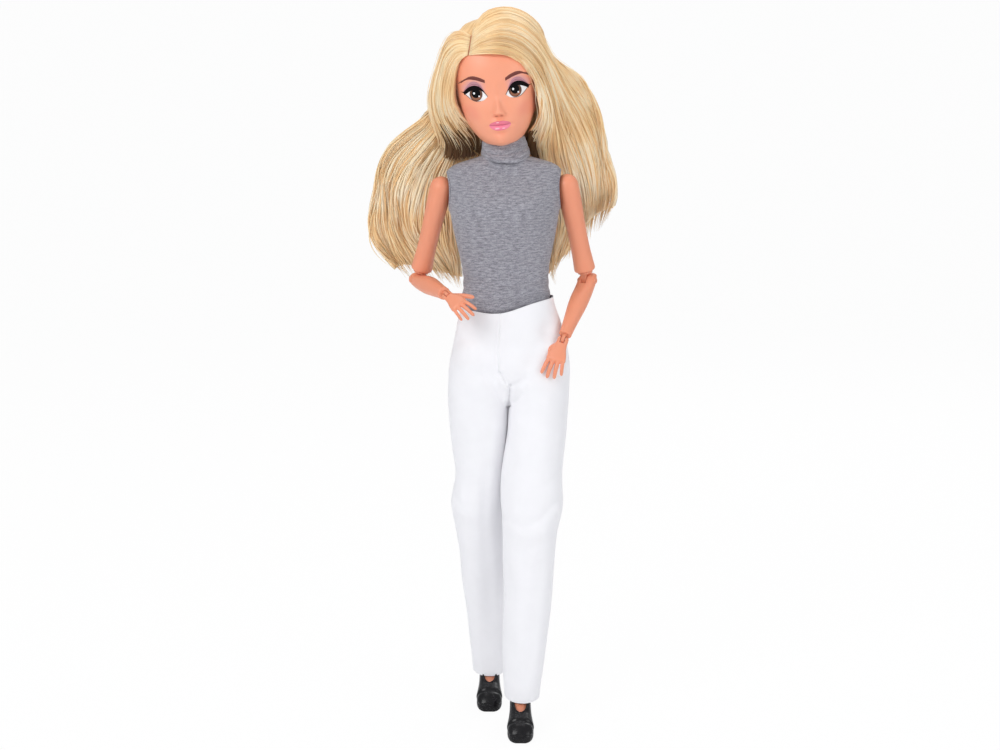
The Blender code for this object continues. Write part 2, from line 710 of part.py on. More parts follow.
def ear_bracket(name, carrier, ball_radius, ear_in, ear, ear_half, floor, trunnion, upright=True):
    """A U bracket whose two ears stand on Y, with a hole through both."""
    flip = 1 if upright else -1
    outer = ear_in + ear
    tip = ball_radius * flip
    body = block((-ear_half, -outer, floor), (ear_half, outer, tip))
    made = piece(name, body, carrier, joint_plastic())
    inner_floor = floor + flip * ear
    wide = ear_half + OVERRUN
    cut(made, block((-wide, -ear_in, inner_floor), (wide, ear_in, tip + flip * OVERRUN)))
    cut(made, rod("Y", trunnion + PLAY, -outer - OVERRUN, outer + OVERRUN, 12))
    return made


def universal_cross(name, carrier, radius, trunnion, reach):
    """A ball with four trunnions, the middle piece of a two way joint."""
    made = piece(name, ball(radius, 10), carrier, joint_plastic())
    join(made, rod("X", trunnion, -reach, reach, 8))
    join(made, rod("Y", trunnion, -reach, reach, 8))
    return made


def waist():
    """Swivel post with its ears, and the cross between pelvis and chest."""
    disc_low = PELVIS_TOP - WAIST_RISE + GAP
    disc_high = disc_low + WAIST_DISC_THICK
    bracket = ear_bracket("waist_swivel", "waist_swivel", WAIST_EAR_HALF, WAIST_EAR_IN, WAIST_EAR,
                          WAIST_EAR_HALF, disc_low + GAP, WAIST_TRUNNION)
    post_low = disc_low - WAIST_POST_LENGTH
    profile = ((post_low, WAIST_POST), (disc_low, WAIST_POST),
               (disc_low, WAIST_DISC), (disc_high, WAIST_DISC))
    join(bracket, turned(profile, 16))
    reach = WAIST_EAR_IN + WAIST_EAR
    universal_cross("waist_cross", "waist_cross", WAIST_BALL, WAIST_TRUNNION, reach)


def chest_rings(shares, bottom, top, grow=0.0, sides=BODY_SIDES):
    """Loops of the chest between two heights, grown all round."""
    rings = []
    for height, width, front, back in shares:
        sizes = (width * CHEST_HALF_WIDTH + grow, front * CHEST_FRONT + grow, back * CHEST_BACK + grow)
        rings.append(ring(bottom + height * (top - bottom), *sizes, sides=sides, power=2.2))
    return rings


def chest_half(name, keep_front):
    """The front or back moulding of the chest, with the waist lugs, shoulder bores and neck ears."""
    made = piece(name, skinned(chest_rings(CHEST_SHARES, CHEST_BOTTOM, CHEST_TOP)), "chest", skin_vinyl())
    neck_floor = NECK_RISE - NECK_EAR_HEIGHT
    neck_low = CHEST_TOP - OVERRUN
    join(made, turned(((neck_low, NECK_STUMP), (neck_floor, NECK_STUMP)), 16))
    for s in SIDE.values():
        half, top = WAIST_EAR_HALF, CHEST_BOTTOM + OVERRUN
        near, far = s * WAIST_EAR_IN, s * (WAIST_EAR_IN + WAIST_EAR)
        join(made, block((near, -half, -half), (far, half, top)))
        half, bottom, top = NECK_EAR_HALF, neck_floor - OVERRUN, NECK_RISE + NECK_EAR_HALF
        near, far = s * NECK_EAR_IN, s * (NECK_EAR_IN + NECK_EAR)
        join(made, block((near, -half, bottom), (far, half, top)))
    lug_out = WAIST_EAR_IN + WAIST_EAR + OVERRUN
    cut(made, rod("X", WAIST_TRUNNION + PLAY, -lug_out, lug_out, 12))
    ear_out = NECK_EAR_IN + NECK_EAR + OVERRUN
    cut(made, rod("X", NECK_TRUNNION + PLAY, -ear_out, ear_out, 12), Matrix.Translation((0, 0, NECK_RISE)))
    for s in SIDE.values():
        inner = CHEST_HALF_WIDTH - SHOULDER_AXLE_SEAT - PLAY
        bore = rod("X", SHOULDER_AXLE + PLAY, s * inner, s * (CHEST_HALF_WIDTH + OVERRUN), 12)
        cut(made, bore, Matrix.Translation((0, SHOULDER_SET_BACK, SHOULDER_RISE)))
    wide = 2 * CHEST_HALF_WIDTH
    side = -SEAM_GAP / 2 if keep_front else SEAM_GAP / 2
    far = wide if keep_front else -wide
    cut(made, block((-wide, side, -wide), (wide, far, wide + NECK_RISE)))


def neck():
    """The cross on the chest's ears and the plug that the head turns on."""
    universal_cross("neck_cross", "neck_cross", NECK_BALL, NECK_TRUNNION, NECK_EAR_IN + NECK_EAR)
    flange_low = NECK_EAR_HALF + GAP + NECK_EAR
    plug = ear_bracket("neck_plug", "neck_plug", NECK_EAR_HALF, NECK_EAR_IN, NECK_EAR, NECK_EAR_HALF,
                       flange_low + NECK_EAR / 2, NECK_TRUNNION, upright=False)
    flange_high = flange_low + NECK_EAR
    neck_high = flange_high + NECK_PLUG_POST_LENGTH
    profile = ((flange_low, NECK_PLUG_FLANGE), (flange_high, NECK_PLUG_FLANGE), (flange_high, NECK_PLUG_POST),
               (neck_high - HEAD_WALL, NECK_PLUG_POST), (neck_high - HEAD_WALL, NECK_PLUG_KNOB),
               (neck_high, NECK_PLUG_POST))
    join(plug, turned(profile, 16))


def head_rings(grow=0.0, sides=BODY_SIDES):
    """Loops of the head from under the chin to the crown, grown all round."""
    rings = []
    for height, width, front, back, shift in HEAD_SHARES:
        level = HEAD_BOTTOM + height * HEAD_HEIGHT
        if height in (0.0, 1.0):
            level += grow if height else -grow
        sizes = (width * HEAD_HALF_WIDTH + grow, front * HEAD_FRONT + grow, back * HEAD_BACK + grow)
        rings.append(ring(level, *sizes, shift=(0, shift * HEAD_FRONT), sides=sides, power=2.15))
    return rings


def head():
    """The hollow vinyl head, open under the skull for the neck plug, with a small nose."""
    made = piece("head_shell", skinned(head_rings()), "head", skin_vinyl())
    nose_level = HEAD_BOTTOM + NOSE_HEIGHT_SHARE * HEAD_HEIGHT
    nose = ball(1.0, 10)
    size = Matrix.Diagonal((NOSE_HALF_WIDTH, NOSE_REACH, NOSE_LENGTH / 2, 1.0))
    place = Matrix.Translation((0, NOSE_REACH / 3 - HEAD_FRONT, nose_level + NOSE_LENGTH / 4))
    join(made, nose, place @ size)
    cut(made, skinned(head_rings(-HEAD_WALL, 14)[::2]))
    hole_top = NECK_EAR_HALF + NECK_EAR + NECK_EAR + NECK_PLUG_POST_LENGTH
    cut(made, rod("Z", NECK_PLUG_KNOB + GAP, -HEAD_WALL, hole_top + GAP, 16))


def upper_arm(side, s):
    """Round shoulder, slot for the hub's knuckle, and a bore for the elbow peg."""
    body = side + "_upper_arm"
    rings = []
    for lift in SHOULDER_BALL_SHARES:
        across = SHOULDER_BALL * math.sqrt(1 - lift * lift)
        rings.append(ring(lift * SHOULDER_BALL, across, across, across, sides=LIMB_SIDES))
    length = SHOULDER_TO_ELBOW - ELBOW_RISE
    for along, width, depth in UPPER_ARM_SHARES:
        sizes = (width * UPPER_ARM_WIDTH, depth * UPPER_ARM_WIDTH, depth * UPPER_ARM_WIDTH)
        rings.append(ring(-along * length, *sizes, sides=LIMB_SIDES))
    made = piece(body, skinned(rings), body, skin_vinyl())
    hub_slot(made, s, SHOULDER_KNUCKLE, SHOULDER_KNUCKLE_HALF, SHOULDER_AXLE, SHOULDER_PIN, SHOULDER_BALL)
    cut(made, rod("Z", ELBOW_PEG + PLAY, -length - OVERRUN, ELBOW_PEG_LENGTH + PLAY - length, 12))
    hub(side, s, "shoulder_hub", SHOULDER_KNUCKLE, SHOULDER_KNUCKLE_HALF, SHOULDER_AXLE, SHOULDER_PIN,
        SHOULDER_HALF_SPAN - CHEST_HALF_WIDTH + SHOULDER_AXLE_SEAT)
    pin_half = PIN_HALF_SHARE * SHOULDER_BALL
    piece(side + "_shoulder_pin", rod("Y", SHOULDER_PIN, -pin_half, pin_half), body, joint_plastic())


def hub(side, s, name, knuckle, knuckle_half, axle, pin, reach):
    """A knuckle on the end of an axle that turns in the torso."""
    body = side + "_" + name
    made = piece(body, rod("Y", knuckle, -knuckle_half, knuckle_half, 16), body, joint_plastic())
    join(made, rod("X", axle, 0, -s * reach, 12))
    cut(made, rod("Y", pin + PLAY, -knuckle_half - OVERRUN, knuckle_half + OVERRUN, 12))


def hub_slot(target, s, knuckle, knuckle_half, axle, pin, radius):
    """The slot that lets a limb rise round its hub, and the bore for its pin."""
    half = knuckle_half + GAP
    room = knuckle + GAP
    far = radius + OVERRUN
    drop = axle + GAP + PLAY
    start = math.pi + math.asin(drop / room)
    end = 2 * math.pi + math.acos(drop / room)
    outline = [(-far, -drop)]
    for i in range(SLOT_STEPS + 1):
        angle = start + (end - start) * i / SLOT_STEPS
        outline.append((room * math.cos(angle), room * math.sin(angle)))
    outline += [(drop, far), (-far, far)]
    cut(target, skinned([[Vector((s * x, y, z)) for x, z in outline] for y in (-half, half)]))
    pin_half = PIN_HALF_SHARE * radius + GAP
    cut(target, rod("Y", pin + PLAY / 2, -pin_half, pin_half, 12))


def elbow(side):
    """Knuckle that swivels in the upper arm and carries the forearm's hinge pin."""
    made = piece(side + "_elbow_knuckle", tab(ELBOW_TAB, ELBOW_RISE - ELBOW_COLLAR_THICK, ELBOW_TAB_HALF),
                 side + "_elbow", joint_plastic())
    collar_low = ELBOW_RISE - GAP - ELBOW_COLLAR_THICK
    collar_high = ELBOW_RISE - GAP
    profile = ((collar_low, ELBOW_COLLAR), (collar_high, ELBOW_COLLAR), (collar_high, ELBOW_PEG),
               (collar_high + ELBOW_PEG_LENGTH, ELBOW_PEG))
    join(made, turned(profile, 12))
    cut(made, rod("X", ELBOW_PIN + PLAY, -ELBOW_TAB_HALF - OVERRUN, ELBOW_TAB_HALF + OVERRUN))


def forearm(side):
    """Two cheeks round the elbow tab, a slim forearm and a bore for the wrist peg."""
    body = side + "_forearm"
    length = ELBOW_TO_WRIST - WRIST_RISE
    rings = []
    for along, width, front, back in FOREARM_SHARES:
        sizes = (width * FOREARM_WIDTH, front * FOREARM_WIDTH, back * FOREARM_WIDTH)
        rings.append(ring(-along * length, *sizes, sides=LIMB_SIDES))
    made = piece(body, skinned(rings), body, skin_vinyl())
    half = FOREARM_WIDTH - GAP
    join(made, rod("X", ELBOW_CHEEK, -half, half, 16))
    slot = ELBOW_TAB_HALF + GAP
    low = -ELBOW_CHEEK - GAP
    cut(made, block((-slot, -2 * ELBOW_CHEEK, low), (slot, 2 * ELBOW_CHEEK, 2 * ELBOW_CHEEK)))
    cut(made, rod("X", ELBOW_PIN + PLAY / 2, -half - OVERRUN, half + OVERRUN))
    cut(made, rod("Z", WRIST_PEG + PLAY, -length - OVERRUN, WRIST_PEG_LENGTH + PLAY - length))
    piece(side + "_elbow_pin", rod("X", ELBOW_PIN, -half, half), body, joint_plastic())


def wrist(side):
    """Knuckle that swivels in the forearm and carries the hand."""
    made = piece(side + "_wrist_knuckle", tab(WRIST_TAB, WRIST_RISE - WRIST_COLLAR_THICK, WRIST_TAB_HALF, 6),
                 side + "_wrist", joint_plastic())
    collar_low = WRIST_RISE - GAP - WRIST_COLLAR_THICK
    collar_high = WRIST_RISE - GAP
    profile = ((collar_low, WRIST_COLLAR), (collar_high, WRIST_COLLAR), (collar_high, WRIST_PEG),
               (collar_high + WRIST_PEG_LENGTH, WRIST_PEG))
    join(made, turned(profile))
    cut(made, rod("X", WRIST_PIN + PLAY / 2, -WRIST_TAB_HALF - OVERRUN, WRIST_TAB_HALF + OVERRUN, 8))


def finger(length, radius):
    """A blunt finger that hangs from its root."""
    rings = []
    for along, share in FINGER_SHARES:
        size = radius * share
        rings.append(ring(-along * length, size, size, size, sides=6))
    return skinned(rings)


def hand(side, s):
    """Palm towards +Y, thumb towards the doll's middle, with a fork at the wrist."""
    body = side + "_hand"
    rings = []
    for along, width, thick in PALM_SHARES:
        sizes = (width * HAND_HALF_WIDTH, thick * HAND_HALF_THICK, thick * HAND_HALF_THICK)
        rings.append(ring(-along * PALM_LENGTH, *sizes, sides=10, power=2.4))
    made = piece(body, skinned(rings), body, skin_vinyl())
    half = PALM_SHARES[0][1] * HAND_HALF_WIDTH
    join(made, rod("X", WRIST_CHEEK, -half, half, 12))
    for place, share in zip(FINGER_PLACE_SHARES, FINGER_LENGTH_SHARES):
        root = Matrix.Translation((-s * -place * HAND_HALF_WIDTH, 0, -PALM_LENGTH))
        fan = turn((0, -s, 0), FINGER_FAN_DEGREES * place / FINGER_PLACE_SHARES[-1])
        curl = turn((1, 0, 0), FINGER_CURL_DEGREES)
        join(made, finger(share * FINGER_LENGTH, FINGER_RADIUS), root @ fan @ curl)
    thumb_root = Matrix.Translation((-s * PALM_SHARES[2][1] * HAND_HALF_WIDTH / 2, HAND_HALF_THICK / 2,
                                     -PALM_LENGTH / 3))
    join(made, finger(THUMB_LENGTH, THUMB_RADIUS), thumb_root @ turn((0, s, 0), THUMB_DEGREES))
    slot = WRIST_TAB_HALF + GAP
    cut(made, block((-slot, -2 * WRIST_CHEEK, -WRIST_CHEEK - GAP), (slot, 2 * WRIST_CHEEK, 2 * WRIST_CHEEK)))
    cut(made, rod("X", WRIST_PIN + PLAY / 2, -half - OVERRUN, half + OVERRUN, 8))
    piece(side + "_wrist_pin", rod("X", WRIST_PIN, -half, half, 8), body, joint_plastic())


def hip_and_thigh(side, s):
    """Hub and pin, the round thigh top, and the thigh under its swivel cut."""
    web = HIP_HALF_SPAN - GAP / 2
    hub(side, s, "hip_hub", HIP_KNUCKLE, HIP_KNUCKLE_HALF, HIP_AXLE, HIP_PIN, web)
    body = side + "_thigh_top"
    rings = []
    for lift in HIP_BALL_SHARES:
        across = HIP_BALL * math.sqrt(1 - lift * lift)
        rings.append(ring(lift * HIP_BALL, across, across, across, sides=18))
    cut_low = -HIP_TO_THIGH_CUT + GAP
    rings.append(ring(cut_low, THIGH_CUT_RADIUS, THIGH_CUT_RADIUS, THIGH_CUT_RADIUS, sides=18))
    made = piece(body, skinned(rings), body, skin_vinyl())
    hub_slot(made, s, HIP_KNUCKLE, HIP_KNUCKLE_HALF, HIP_AXLE, HIP_PIN, HIP_BALL)
    cut(made, rod("Z", THIGH_POST + PLAY, cut_low - OVERRUN, THIGH_POST_LENGTH + PLAY - HIP_TO_THIGH_CUT, 12))
    pin_half = PIN_HALF_SHARE * HIP_BALL
    piece(side + "_hip_pin", rod("Y", HIP_PIN, -pin_half, pin_half), body, joint_plastic())
    thigh(side, s)


def thigh(side, s):
    """Thigh from the swivel cut to the knee cheeks, with a post up into the thigh top."""
    body = side + "_thigh"
    rings = []
    for along, width, front, back in THIGH_SHARES:
        sizes = (width * THIGH_CUT_RADIUS, front * THIGH_CUT_RADIUS, back * THIGH_CUT_RADIUS)
        place = (-s * along * KNEE_INSET, 0)
        rings.append(ring(-along * THIGH_CUT_TO_KNEE, *sizes, shift=place, sides=18))
    made = piece(body, skinned(rings), body, skin_vinyl())
    knee = Matrix.Translation((-s * KNEE_INSET, 0, -THIGH_CUT_TO_KNEE))
    half = THIGH_SHARES[-1][1] * THIGH_CUT_RADIUS - GAP
    join(made, tab(KNEE_CHEEK, KNEE_CHEEK, half), knee)
    join(made, rod("Z", THIGH_POST, -THIGH_POST_LENGTH, THIGH_POST_LENGTH, 12))
    slot = KNEE_TAB_HALF + GAP
    low, high = (-slot, -2 * KNEE_CHEEK, -2 * KNEE_CHEEK), (slot, 2 * KNEE_CHEEK, KNEE_TAB + GAP)
    cut(made, block(low, high), knee)
    cut(made, rod("X", KNEE_PIN + PLAY / 2, -half - OVERRUN, half + OVERRUN), knee)
    piece(side + "_knee_pin", rod("X", KNEE_PIN, -half, half), body, joint_plastic(), knee)


def shin(side, s):
    """Knee tab, calf and the two cheeks of the ankle."""
    body = side + "_shin"
    length = KNEE_TO_ANKLE - SHIN_TOP
    rings = []
    for along, width, front, back in SHIN_SHARES:
        sizes = (width * SHIN_WIDTH, front * SHIN_WIDTH, back * SHIN_WIDTH)
        drop = -SHIN_TOP - along * length
        rings.append(ring(drop, *sizes, shift=(s * drop / KNEE_TO_ANKLE * ANKLE_INSET, 0), sides=LIMB_SIDES))
    made = piece(body, skinned(rings), body, skin_vinyl())
    upside_down = Matrix.Rotation(math.pi, 4, "X")
    join(made, tab(KNEE_TAB, SHIN_TOP + OVERRUN, KNEE_TAB_HALF), upside_down)
    half_out = KNEE_TAB_HALF + OVERRUN
    cut(made, rod("X", KNEE_PIN + PLAY, -half_out, half_out))
    ankle = Matrix.Translation((-s * ANKLE_INSET, 0, -KNEE_TO_ANKLE))
    half = SHIN_SHARES[-1][1] * SHIN_WIDTH
    join(made, tab(ANKLE_CHEEK, (1 - SHIN_SHARES[-1][0]) * length + OVERRUN, half), ankle)
    slot = ANKLE_TAB_HALF + GAP
    low, high = (-slot, -2 * ANKLE_CHEEK, -2 * ANKLE_CHEEK), (slot, 2 * ANKLE_CHEEK, ANKLE_TAB + GAP)
    cut(made, block(low, high), ankle)
    cut(made, rod("X", ANKLE_PIN + PLAY / 2, -half - OVERRUN, half + OVERRUN), ankle)
    piece(side + "_ankle_pin", rod("X", ANKLE_PIN, -half, half), body, joint_plastic(), ankle)


def shoe_rings(shares, grow=0.0, sides=12):
    """Upright loops from heel to toe; each share row gives place, width, underside and top."""
    rings = []
    for place, width, underside, top in shares:
        along = BOOT_HEEL - place * (BOOT_HEEL + BOOT_TOE)
        if place in (shares[0][0], shares[-1][0]):
            along += grow if place == shares[0][0] else -grow
        low = -underside * ANKLE_HEIGHT - grow
        high = -top * ANKLE_HEIGHT + grow
        unit = ring(0, 1.0, 1.0, 1.0, sides=sides, power=2.8)
        reach = max(point.y for point in unit)
        middle, tall = (high + low) / 2, (high - low) / 2
        wide = width * BOOT_HALF_WIDTH + grow
        rings.append([Vector((point.x * wide, along, middle + point.y / reach * tall)) for point in unit])
    return rings


def foot_and_boot(side):
    """The arched foot on its ankle tab, and the platform boot with its block heel and V opening."""
    body = side + "_foot"
    made = piece(body, skinned(shoe_rings(FOOT_SHARES)), body, skin_vinyl())
    upside_down = Matrix.Rotation(math.pi, 4, "X")
    join(made, tab(ANKLE_TAB, FOOT_TOP + OVERRUN, ANKLE_TAB_HALF), upside_down)
    cut(made, rod("X", ANKLE_PIN + PLAY, -ANKLE_TAB_HALF - OVERRUN, ANKLE_TAB_HALF + OVERRUN))
    boot = piece(side + "_boot", skinned(shoe_rings(BOOT_SHARES)), body, boot_vinyl())
    whole = BOOT_HEEL + BOOT_TOE
    heel_back = BOOT_HEEL - HEEL_BACK_SHARE * whole
    heel_front = BOOT_HEEL - HEEL_FRONT_SHARE * whole
    heel_top = -HEEL_INTO_SOLE_SHARE * ANKLE_HEIGHT
    join(boot, block((-HEEL_HALF_WIDTH, heel_front, -ANKLE_HEIGHT), (HEEL_HALF_WIDTH, heel_back, heel_top)))
    cut(boot, skinned(shoe_rings(FOOT_SHARES, GAP)))
    opening = BOOT_HEEL - FOOT_SHARES[1][0] * whole
    v_end = BOOT_HEEL - V_END_SHARE * whole
    v_start = v_end + V_LENGTH_SHARE * whole
    v_low = -FOOT_SHARES[4][2] * ANKLE_HEIGHT
    outline = ((-V_HALF_WIDTH, opening), (-V_HALF_WIDTH, v_start), (0, v_end), (V_HALF_WIDTH, v_start),
               (V_HALF_WIDTH, opening))
    cut(boot, skinned([[Vector((x, y, z)) for x, y in outline] for z in (v_low, OVERRUN)]))


def knit_top():
    """The knit body as one thin shell, tucked in at the waist, with two armholes."""
    bottom, top = -KNIT_HEM_DROP, CHEST_TOP + COLLAR_WALL
    outer = chest_rings(KNIT_SHARES, bottom, top, KNIT_EASE + KNIT_WALL, CLOTH_SIDES)
    inner = chest_rings(KNIT_SHARES, bottom, top, KNIT_EASE, CLOTH_SIDES)
    for point in inner[-1]:
        point.z -= KNIT_WALL
    made = piece("knit_top", skinned(outer + inner[::-1], hollow=True), "chest", knit_fabric())
    for s in SIDE.values():
        hole = rod("X", ARMHOLE, s * (CHEST_HALF_WIDTH - ARMHOLE_DEPTH), s * 2 * CHEST_HALF_WIDTH, 18)
        cut(made, hole, Matrix.Translation((0, SHOULDER_SET_BACK, SHOULDER_RISE - GAP)))
    back_strip("top_closure", "chest", outer[1:-1], knit_fabric())


def collar():
    """The folded turtleneck, a double band that stands on the neck seam."""
    base = CHEST_TOP + COLLAR_WALL + GAP
    outer, inner = [], []
    for height, share in COLLAR_SHARES:
        level = base + height * COLLAR_HEIGHT_SHARE * NECK_STAND
        size = share * COLLAR_RADIUS
        outer.append(ring(level, size, size, size, sides=CLOTH_SIDES))
        size -= COLLAR_WALL
        inner.append(ring(level, size, size, size, sides=CLOTH_SIDES))
    piece("turtleneck_collar", skinned(outer + inner[::-1], hollow=True), "chest", knit_fabric())


def back_strip(name, carrier, rings, look):
    """A closure tape that lies just off the back of a shell's loops."""
    bands = []
    half = CLOSURE_WIDTH / 2
    for points in rings:
        back = max(point.y for point in points) + GAP
        level = points[0].z
        low, high = back, back + CLOSURE_THICK
        bands.append([Vector(corner) for corner in ((-half, low, level), (half, low, level),
                                                    (half, high, level), (-half, high, level))])
    return piece(name, skinned(bands), carrier, look)


def seat_rings(grow=0.0):
    """Loops of the trousers from the split up to the slanted waist edge."""
    rings = []
    low = TROUSER_SPLIT
    for height, width, front, back, shift in SEAT_SHARES:
        sizes = (width * TROUSER_HALF_WIDTH + grow, front * TROUSER_DEPTH + grow, back * TROUSER_DEPTH + grow)
        level = low + height * (TROUSER_RISE - low)
        middle = (shift * TROUSER_HALF_WIDTH, 0)
        points = ring(level, *sizes, shift=middle, sides=CLOTH_SIDES, power=TROUSER_SQUARENESS)
        for point in points:
            across = point.x / TROUSER_HALF_WIDTH
            sag = height ** 3 * TROUSER_SLANT
            point.z += sag * (across + (point.y / TROUSER_DEPTH) / 2)
        rings.append(points)
    return rings


def hair_cap():
    """The combed hair on the scalp, a shell open over the face and under the skull."""
    crown = head_rings(HAIR_CAP)
    made = piece("hair_cap", skinned(crown[2:]), "head", hair_fibre())
    cut(made, skinned(head_rings(HAIR_GAP)))
    face = rod("Y", 1.0, -2 * HEAD_FRONT, -HAIRLINE_SETBACK, 20)
    place = Matrix.Translation((0, 0, FACE_CENTRE))
    cut(made, face, place @ Matrix.Diagonal((FACE_HALF_WIDTH, 1.0, FACE_HALF_HEIGHT, 1.0)))


def hair_fall(name, shares):
    """One loose mass of long hair behind the shoulder, cut clear of the combed cap."""
    neck_place = FRAMES["root"].matrix_world.inverted() @ FRAMES["head"].matrix_world.translation
    loops = []
    for i, (height, low_x, high_x, front, back) in enumerate(shares):
        level = height * HAIR_DROP
        width = (high_x - low_x) / 2 * HAIR_SPREAD
        depth = (back - front) / 2 * HAIR_BACK
        middle = ((high_x + low_x) / 2 * HAIR_SPREAD, (back + front) / 2 * HAIR_BACK)
        points = ring(level, width, depth, depth, middle, HAIR_SIDES, power=2.6)
        centre = Vector((*middle, level))
        loops.append([neck_place + point for point in folded(points, centre, HAIR_WAVE, i)])
    to_head = FRAMES["head"].matrix_world.inverted() @ FRAMES["root"].matrix_world
    made = piece(name, skinned(loops), "head", hair_fibre(), to_head)
    cut(made, skinned(head_rings(HAIR_CAP + HAIR_GAP)))


def hair():
    """The rooted hair as a combed cap and three loose masses."""
    hair_cap()
    hair_fall("right_hair_fall", RIGHT_FALL_SHARES)
    hair_fall("left_hair_fall", LEFT_FALL_SHARES)
    hair_fall("back_hair_fall", BACK_FALL_SHARES)


def trousers():
    """Seat on the pelvis, and for each leg a thigh tube and a shin tube over the posed leg."""
    outer, inner = seat_rings(), seat_rings(-TROUSER_WALL)
    piece("trousers_seat", skinned(outer + inner[::-1], hollow=True), "pelvis", trouser_fabric())
    back_strip("trousers_closure", "pelvis", outer[2:], trouser_fabric())
    for side, s in SIDE.items():
        trouser_leg(side, s)


def placed(frame_name, points):
    """Points of a frame's straight space, in the space of the root."""
    matrix = FRAMES["root"].matrix_world.inverted() @ FRAMES[frame_name].matrix_world
    return [matrix @ point for point in points]


def folded(points, centre, depth, phase):
    """Push a loop in and out so that the cloth shows long soft folds."""
    moved = []
    for i, point in enumerate(points):
        angle = 2 * math.pi * i / len(points)
        swell = depth * (math.sin(3 * angle + phase) + math.sin(5 * angle - 2 * phase) / 2)
        outwards = (point - centre).normalized()
        moved.append(point + swell * outwards)
    return moved


def trouser_leg(side, s):
    """One trouser leg, split at the knee so that each half rides on its own limb."""
    half = TROUSER_HALF_WIDTH / 2
    body, lower = side + "_thigh", side + "_shin"
    cloth = LEG_CLOTH[side]
    shift = LEG_CLOTH_SHIFT[side]

    def leg_ring(carrier, level, sizes, middle, fold, phase, wall):
        width, depth = sizes
        points = ring(level, width - wall, depth - wall, depth - wall, middle, CLOTH_SIDES)
        return placed(carrier, folded(points, Vector((*middle, level)), fold, phase))

    def over_thigh(share, sizes, fold, wall):
        middle = (shift * share - s * share * KNEE_INSET, 0)
        return leg_ring(body, -share * THIGH_CUT_TO_KNEE, sizes, middle, fold, s + share, wall)

    def thigh_loops(wall):
        split = TROUSER_SPLIT - GAP
        top_sizes = (half - GAP / 2, TROUSER_DEPTH)
        top = leg_ring("pelvis", split, top_sizes, (s * half, 0), 0, 0, wall)
        loops = [over_thigh(share, (wide * cloth, deep * LEG_CLOTH_DEPTH), THIGH_FOLD, wall)
                 for share, wide, deep in THIGH_TUBE_SHARES]
        knee_share = 1 - GAP / THIGH_CUT_TO_KNEE
        knee = over_thigh(knee_share, (KNEE_BULGE_SHARE * cloth, LEG_CLOTH_DEPTH), THIGH_FOLD, wall)
        return [top, *loops, knee]

    def shin_loops(wall):
        knee = over_thigh(1.0, (KNEE_BULGE_SHARE * cloth, LEG_CLOTH_DEPTH), THIGH_FOLD, wall)
        loops = [knee]
        length = KNEE_TO_ANKLE + ANKLE_HEIGHT - HEM_RISE
        for along, share in SHIN_TUBE_SHARES:
            level = -along * length
            middle = (s * level / KNEE_TO_ANKLE * ANKLE_INSET + shift * (1 - along), 0)
            sizes = (share * cloth, share * LEG_CLOTH_DEPTH)
            loops.append(leg_ring(lower, level, sizes, middle, SHIN_FOLD, 2 * s + along, wall))
        hem_level = HEM_RISE - ANKLE_HEIGHT
        sizes, middle = (HEM_CLOTH, HEM_DEPTH), (0, HEM_SET_BACK)
        hem = leg_ring(side + "_foot", hem_level, sizes, middle, SHIN_FOLD / 2, s, wall)
        return [*loops, hem]

    for name, carrier, loops in (("trousers_thigh", body, thigh_loops), ("trousers_shin", lower, shin_loops)):
        outer, inner = loops(0.0), loops(TROUSER_WALL)
        to_carrier = FRAMES[carrier].matrix_world.inverted() @ FRAMES["root"].matrix_world
        tube = skinned(outer + inner[::-1], hollow=True)
        piece(side + "_" + name, tube, carrier, trouser_fabric(), to_carrier)


def doll():
    """Every piece, from the pelvis outwards."""
    clear_scene()
    build_skeleton()
    pelvis_half("pelvis_front", True)
    pelvis_half("pelvis_back", False)
    waist()
    chest_half("chest_front", True)
    chest_half("chest_back", False)
    neck()
    head()
    for side, s in SIDE.items():
        upper_arm(side, s)
        elbow(side)
        forearm(side)
        wrist(side)
        hand(side, s)
        hip_and_thigh(side, s)
        shin(side, s)
        foot_and_boot(side)
    knit_top()
    collar()
    trousers()
    hair()
    stand_on_origin()


def stand_on_origin():
    """Move the doll so that its soles are at height zero and its outline is centred on the origin."""
    bpy.context.view_layer.update()
    graph = bpy.context.evaluated_depsgraph_get()
    low, high = Vector((math.inf,) * 3), Vector((-math.inf,) * 3)
    for item in bpy.data.objects:
        if item.type != "MESH" or item.hide_render:
            continue
        evaluated = item.evaluated_get(graph)
        mesh = evaluated.to_mesh()
        for vert in mesh.vertices:
            place = item.matrix_world @ vert.co
            low = Vector(map(min, low, place))
            high = Vector(map(max, high, place))
        evaluated.to_mesh_clear()
    FRAMES["root"].location = (-(low.x + high.x) / 2, -(low.y + high.y) / 2, -low.z)
    bpy.context.view_layer.update()


doll()
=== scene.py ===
"""Looks of the jointed fashion doll, built around its packed CAD frame.

Lengths in the tables below are millimetres in the straight frame of the body that carries the
piece: X to the doll's own left, -Y the way it faces, +Z up the limb or the head.
"""

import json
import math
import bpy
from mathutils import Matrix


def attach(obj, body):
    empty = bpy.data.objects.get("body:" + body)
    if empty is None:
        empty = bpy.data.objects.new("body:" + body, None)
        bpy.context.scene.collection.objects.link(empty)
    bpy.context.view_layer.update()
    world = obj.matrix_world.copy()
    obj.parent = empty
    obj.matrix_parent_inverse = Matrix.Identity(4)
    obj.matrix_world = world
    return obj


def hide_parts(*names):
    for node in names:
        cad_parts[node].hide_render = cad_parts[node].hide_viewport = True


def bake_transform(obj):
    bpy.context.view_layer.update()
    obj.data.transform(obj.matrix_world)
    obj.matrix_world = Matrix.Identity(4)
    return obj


bl_info = {
    "name": "Jointed Fashion Doll",
    "version": (1, 0, 0),
    "blender": (4, 5, 0),
    "location": "3D View > Sidebar > Doll",
    "description": "Face paint, hair, clothes, boots and stage around the doll's fixed frame",
    "category": "Add Mesh",
}

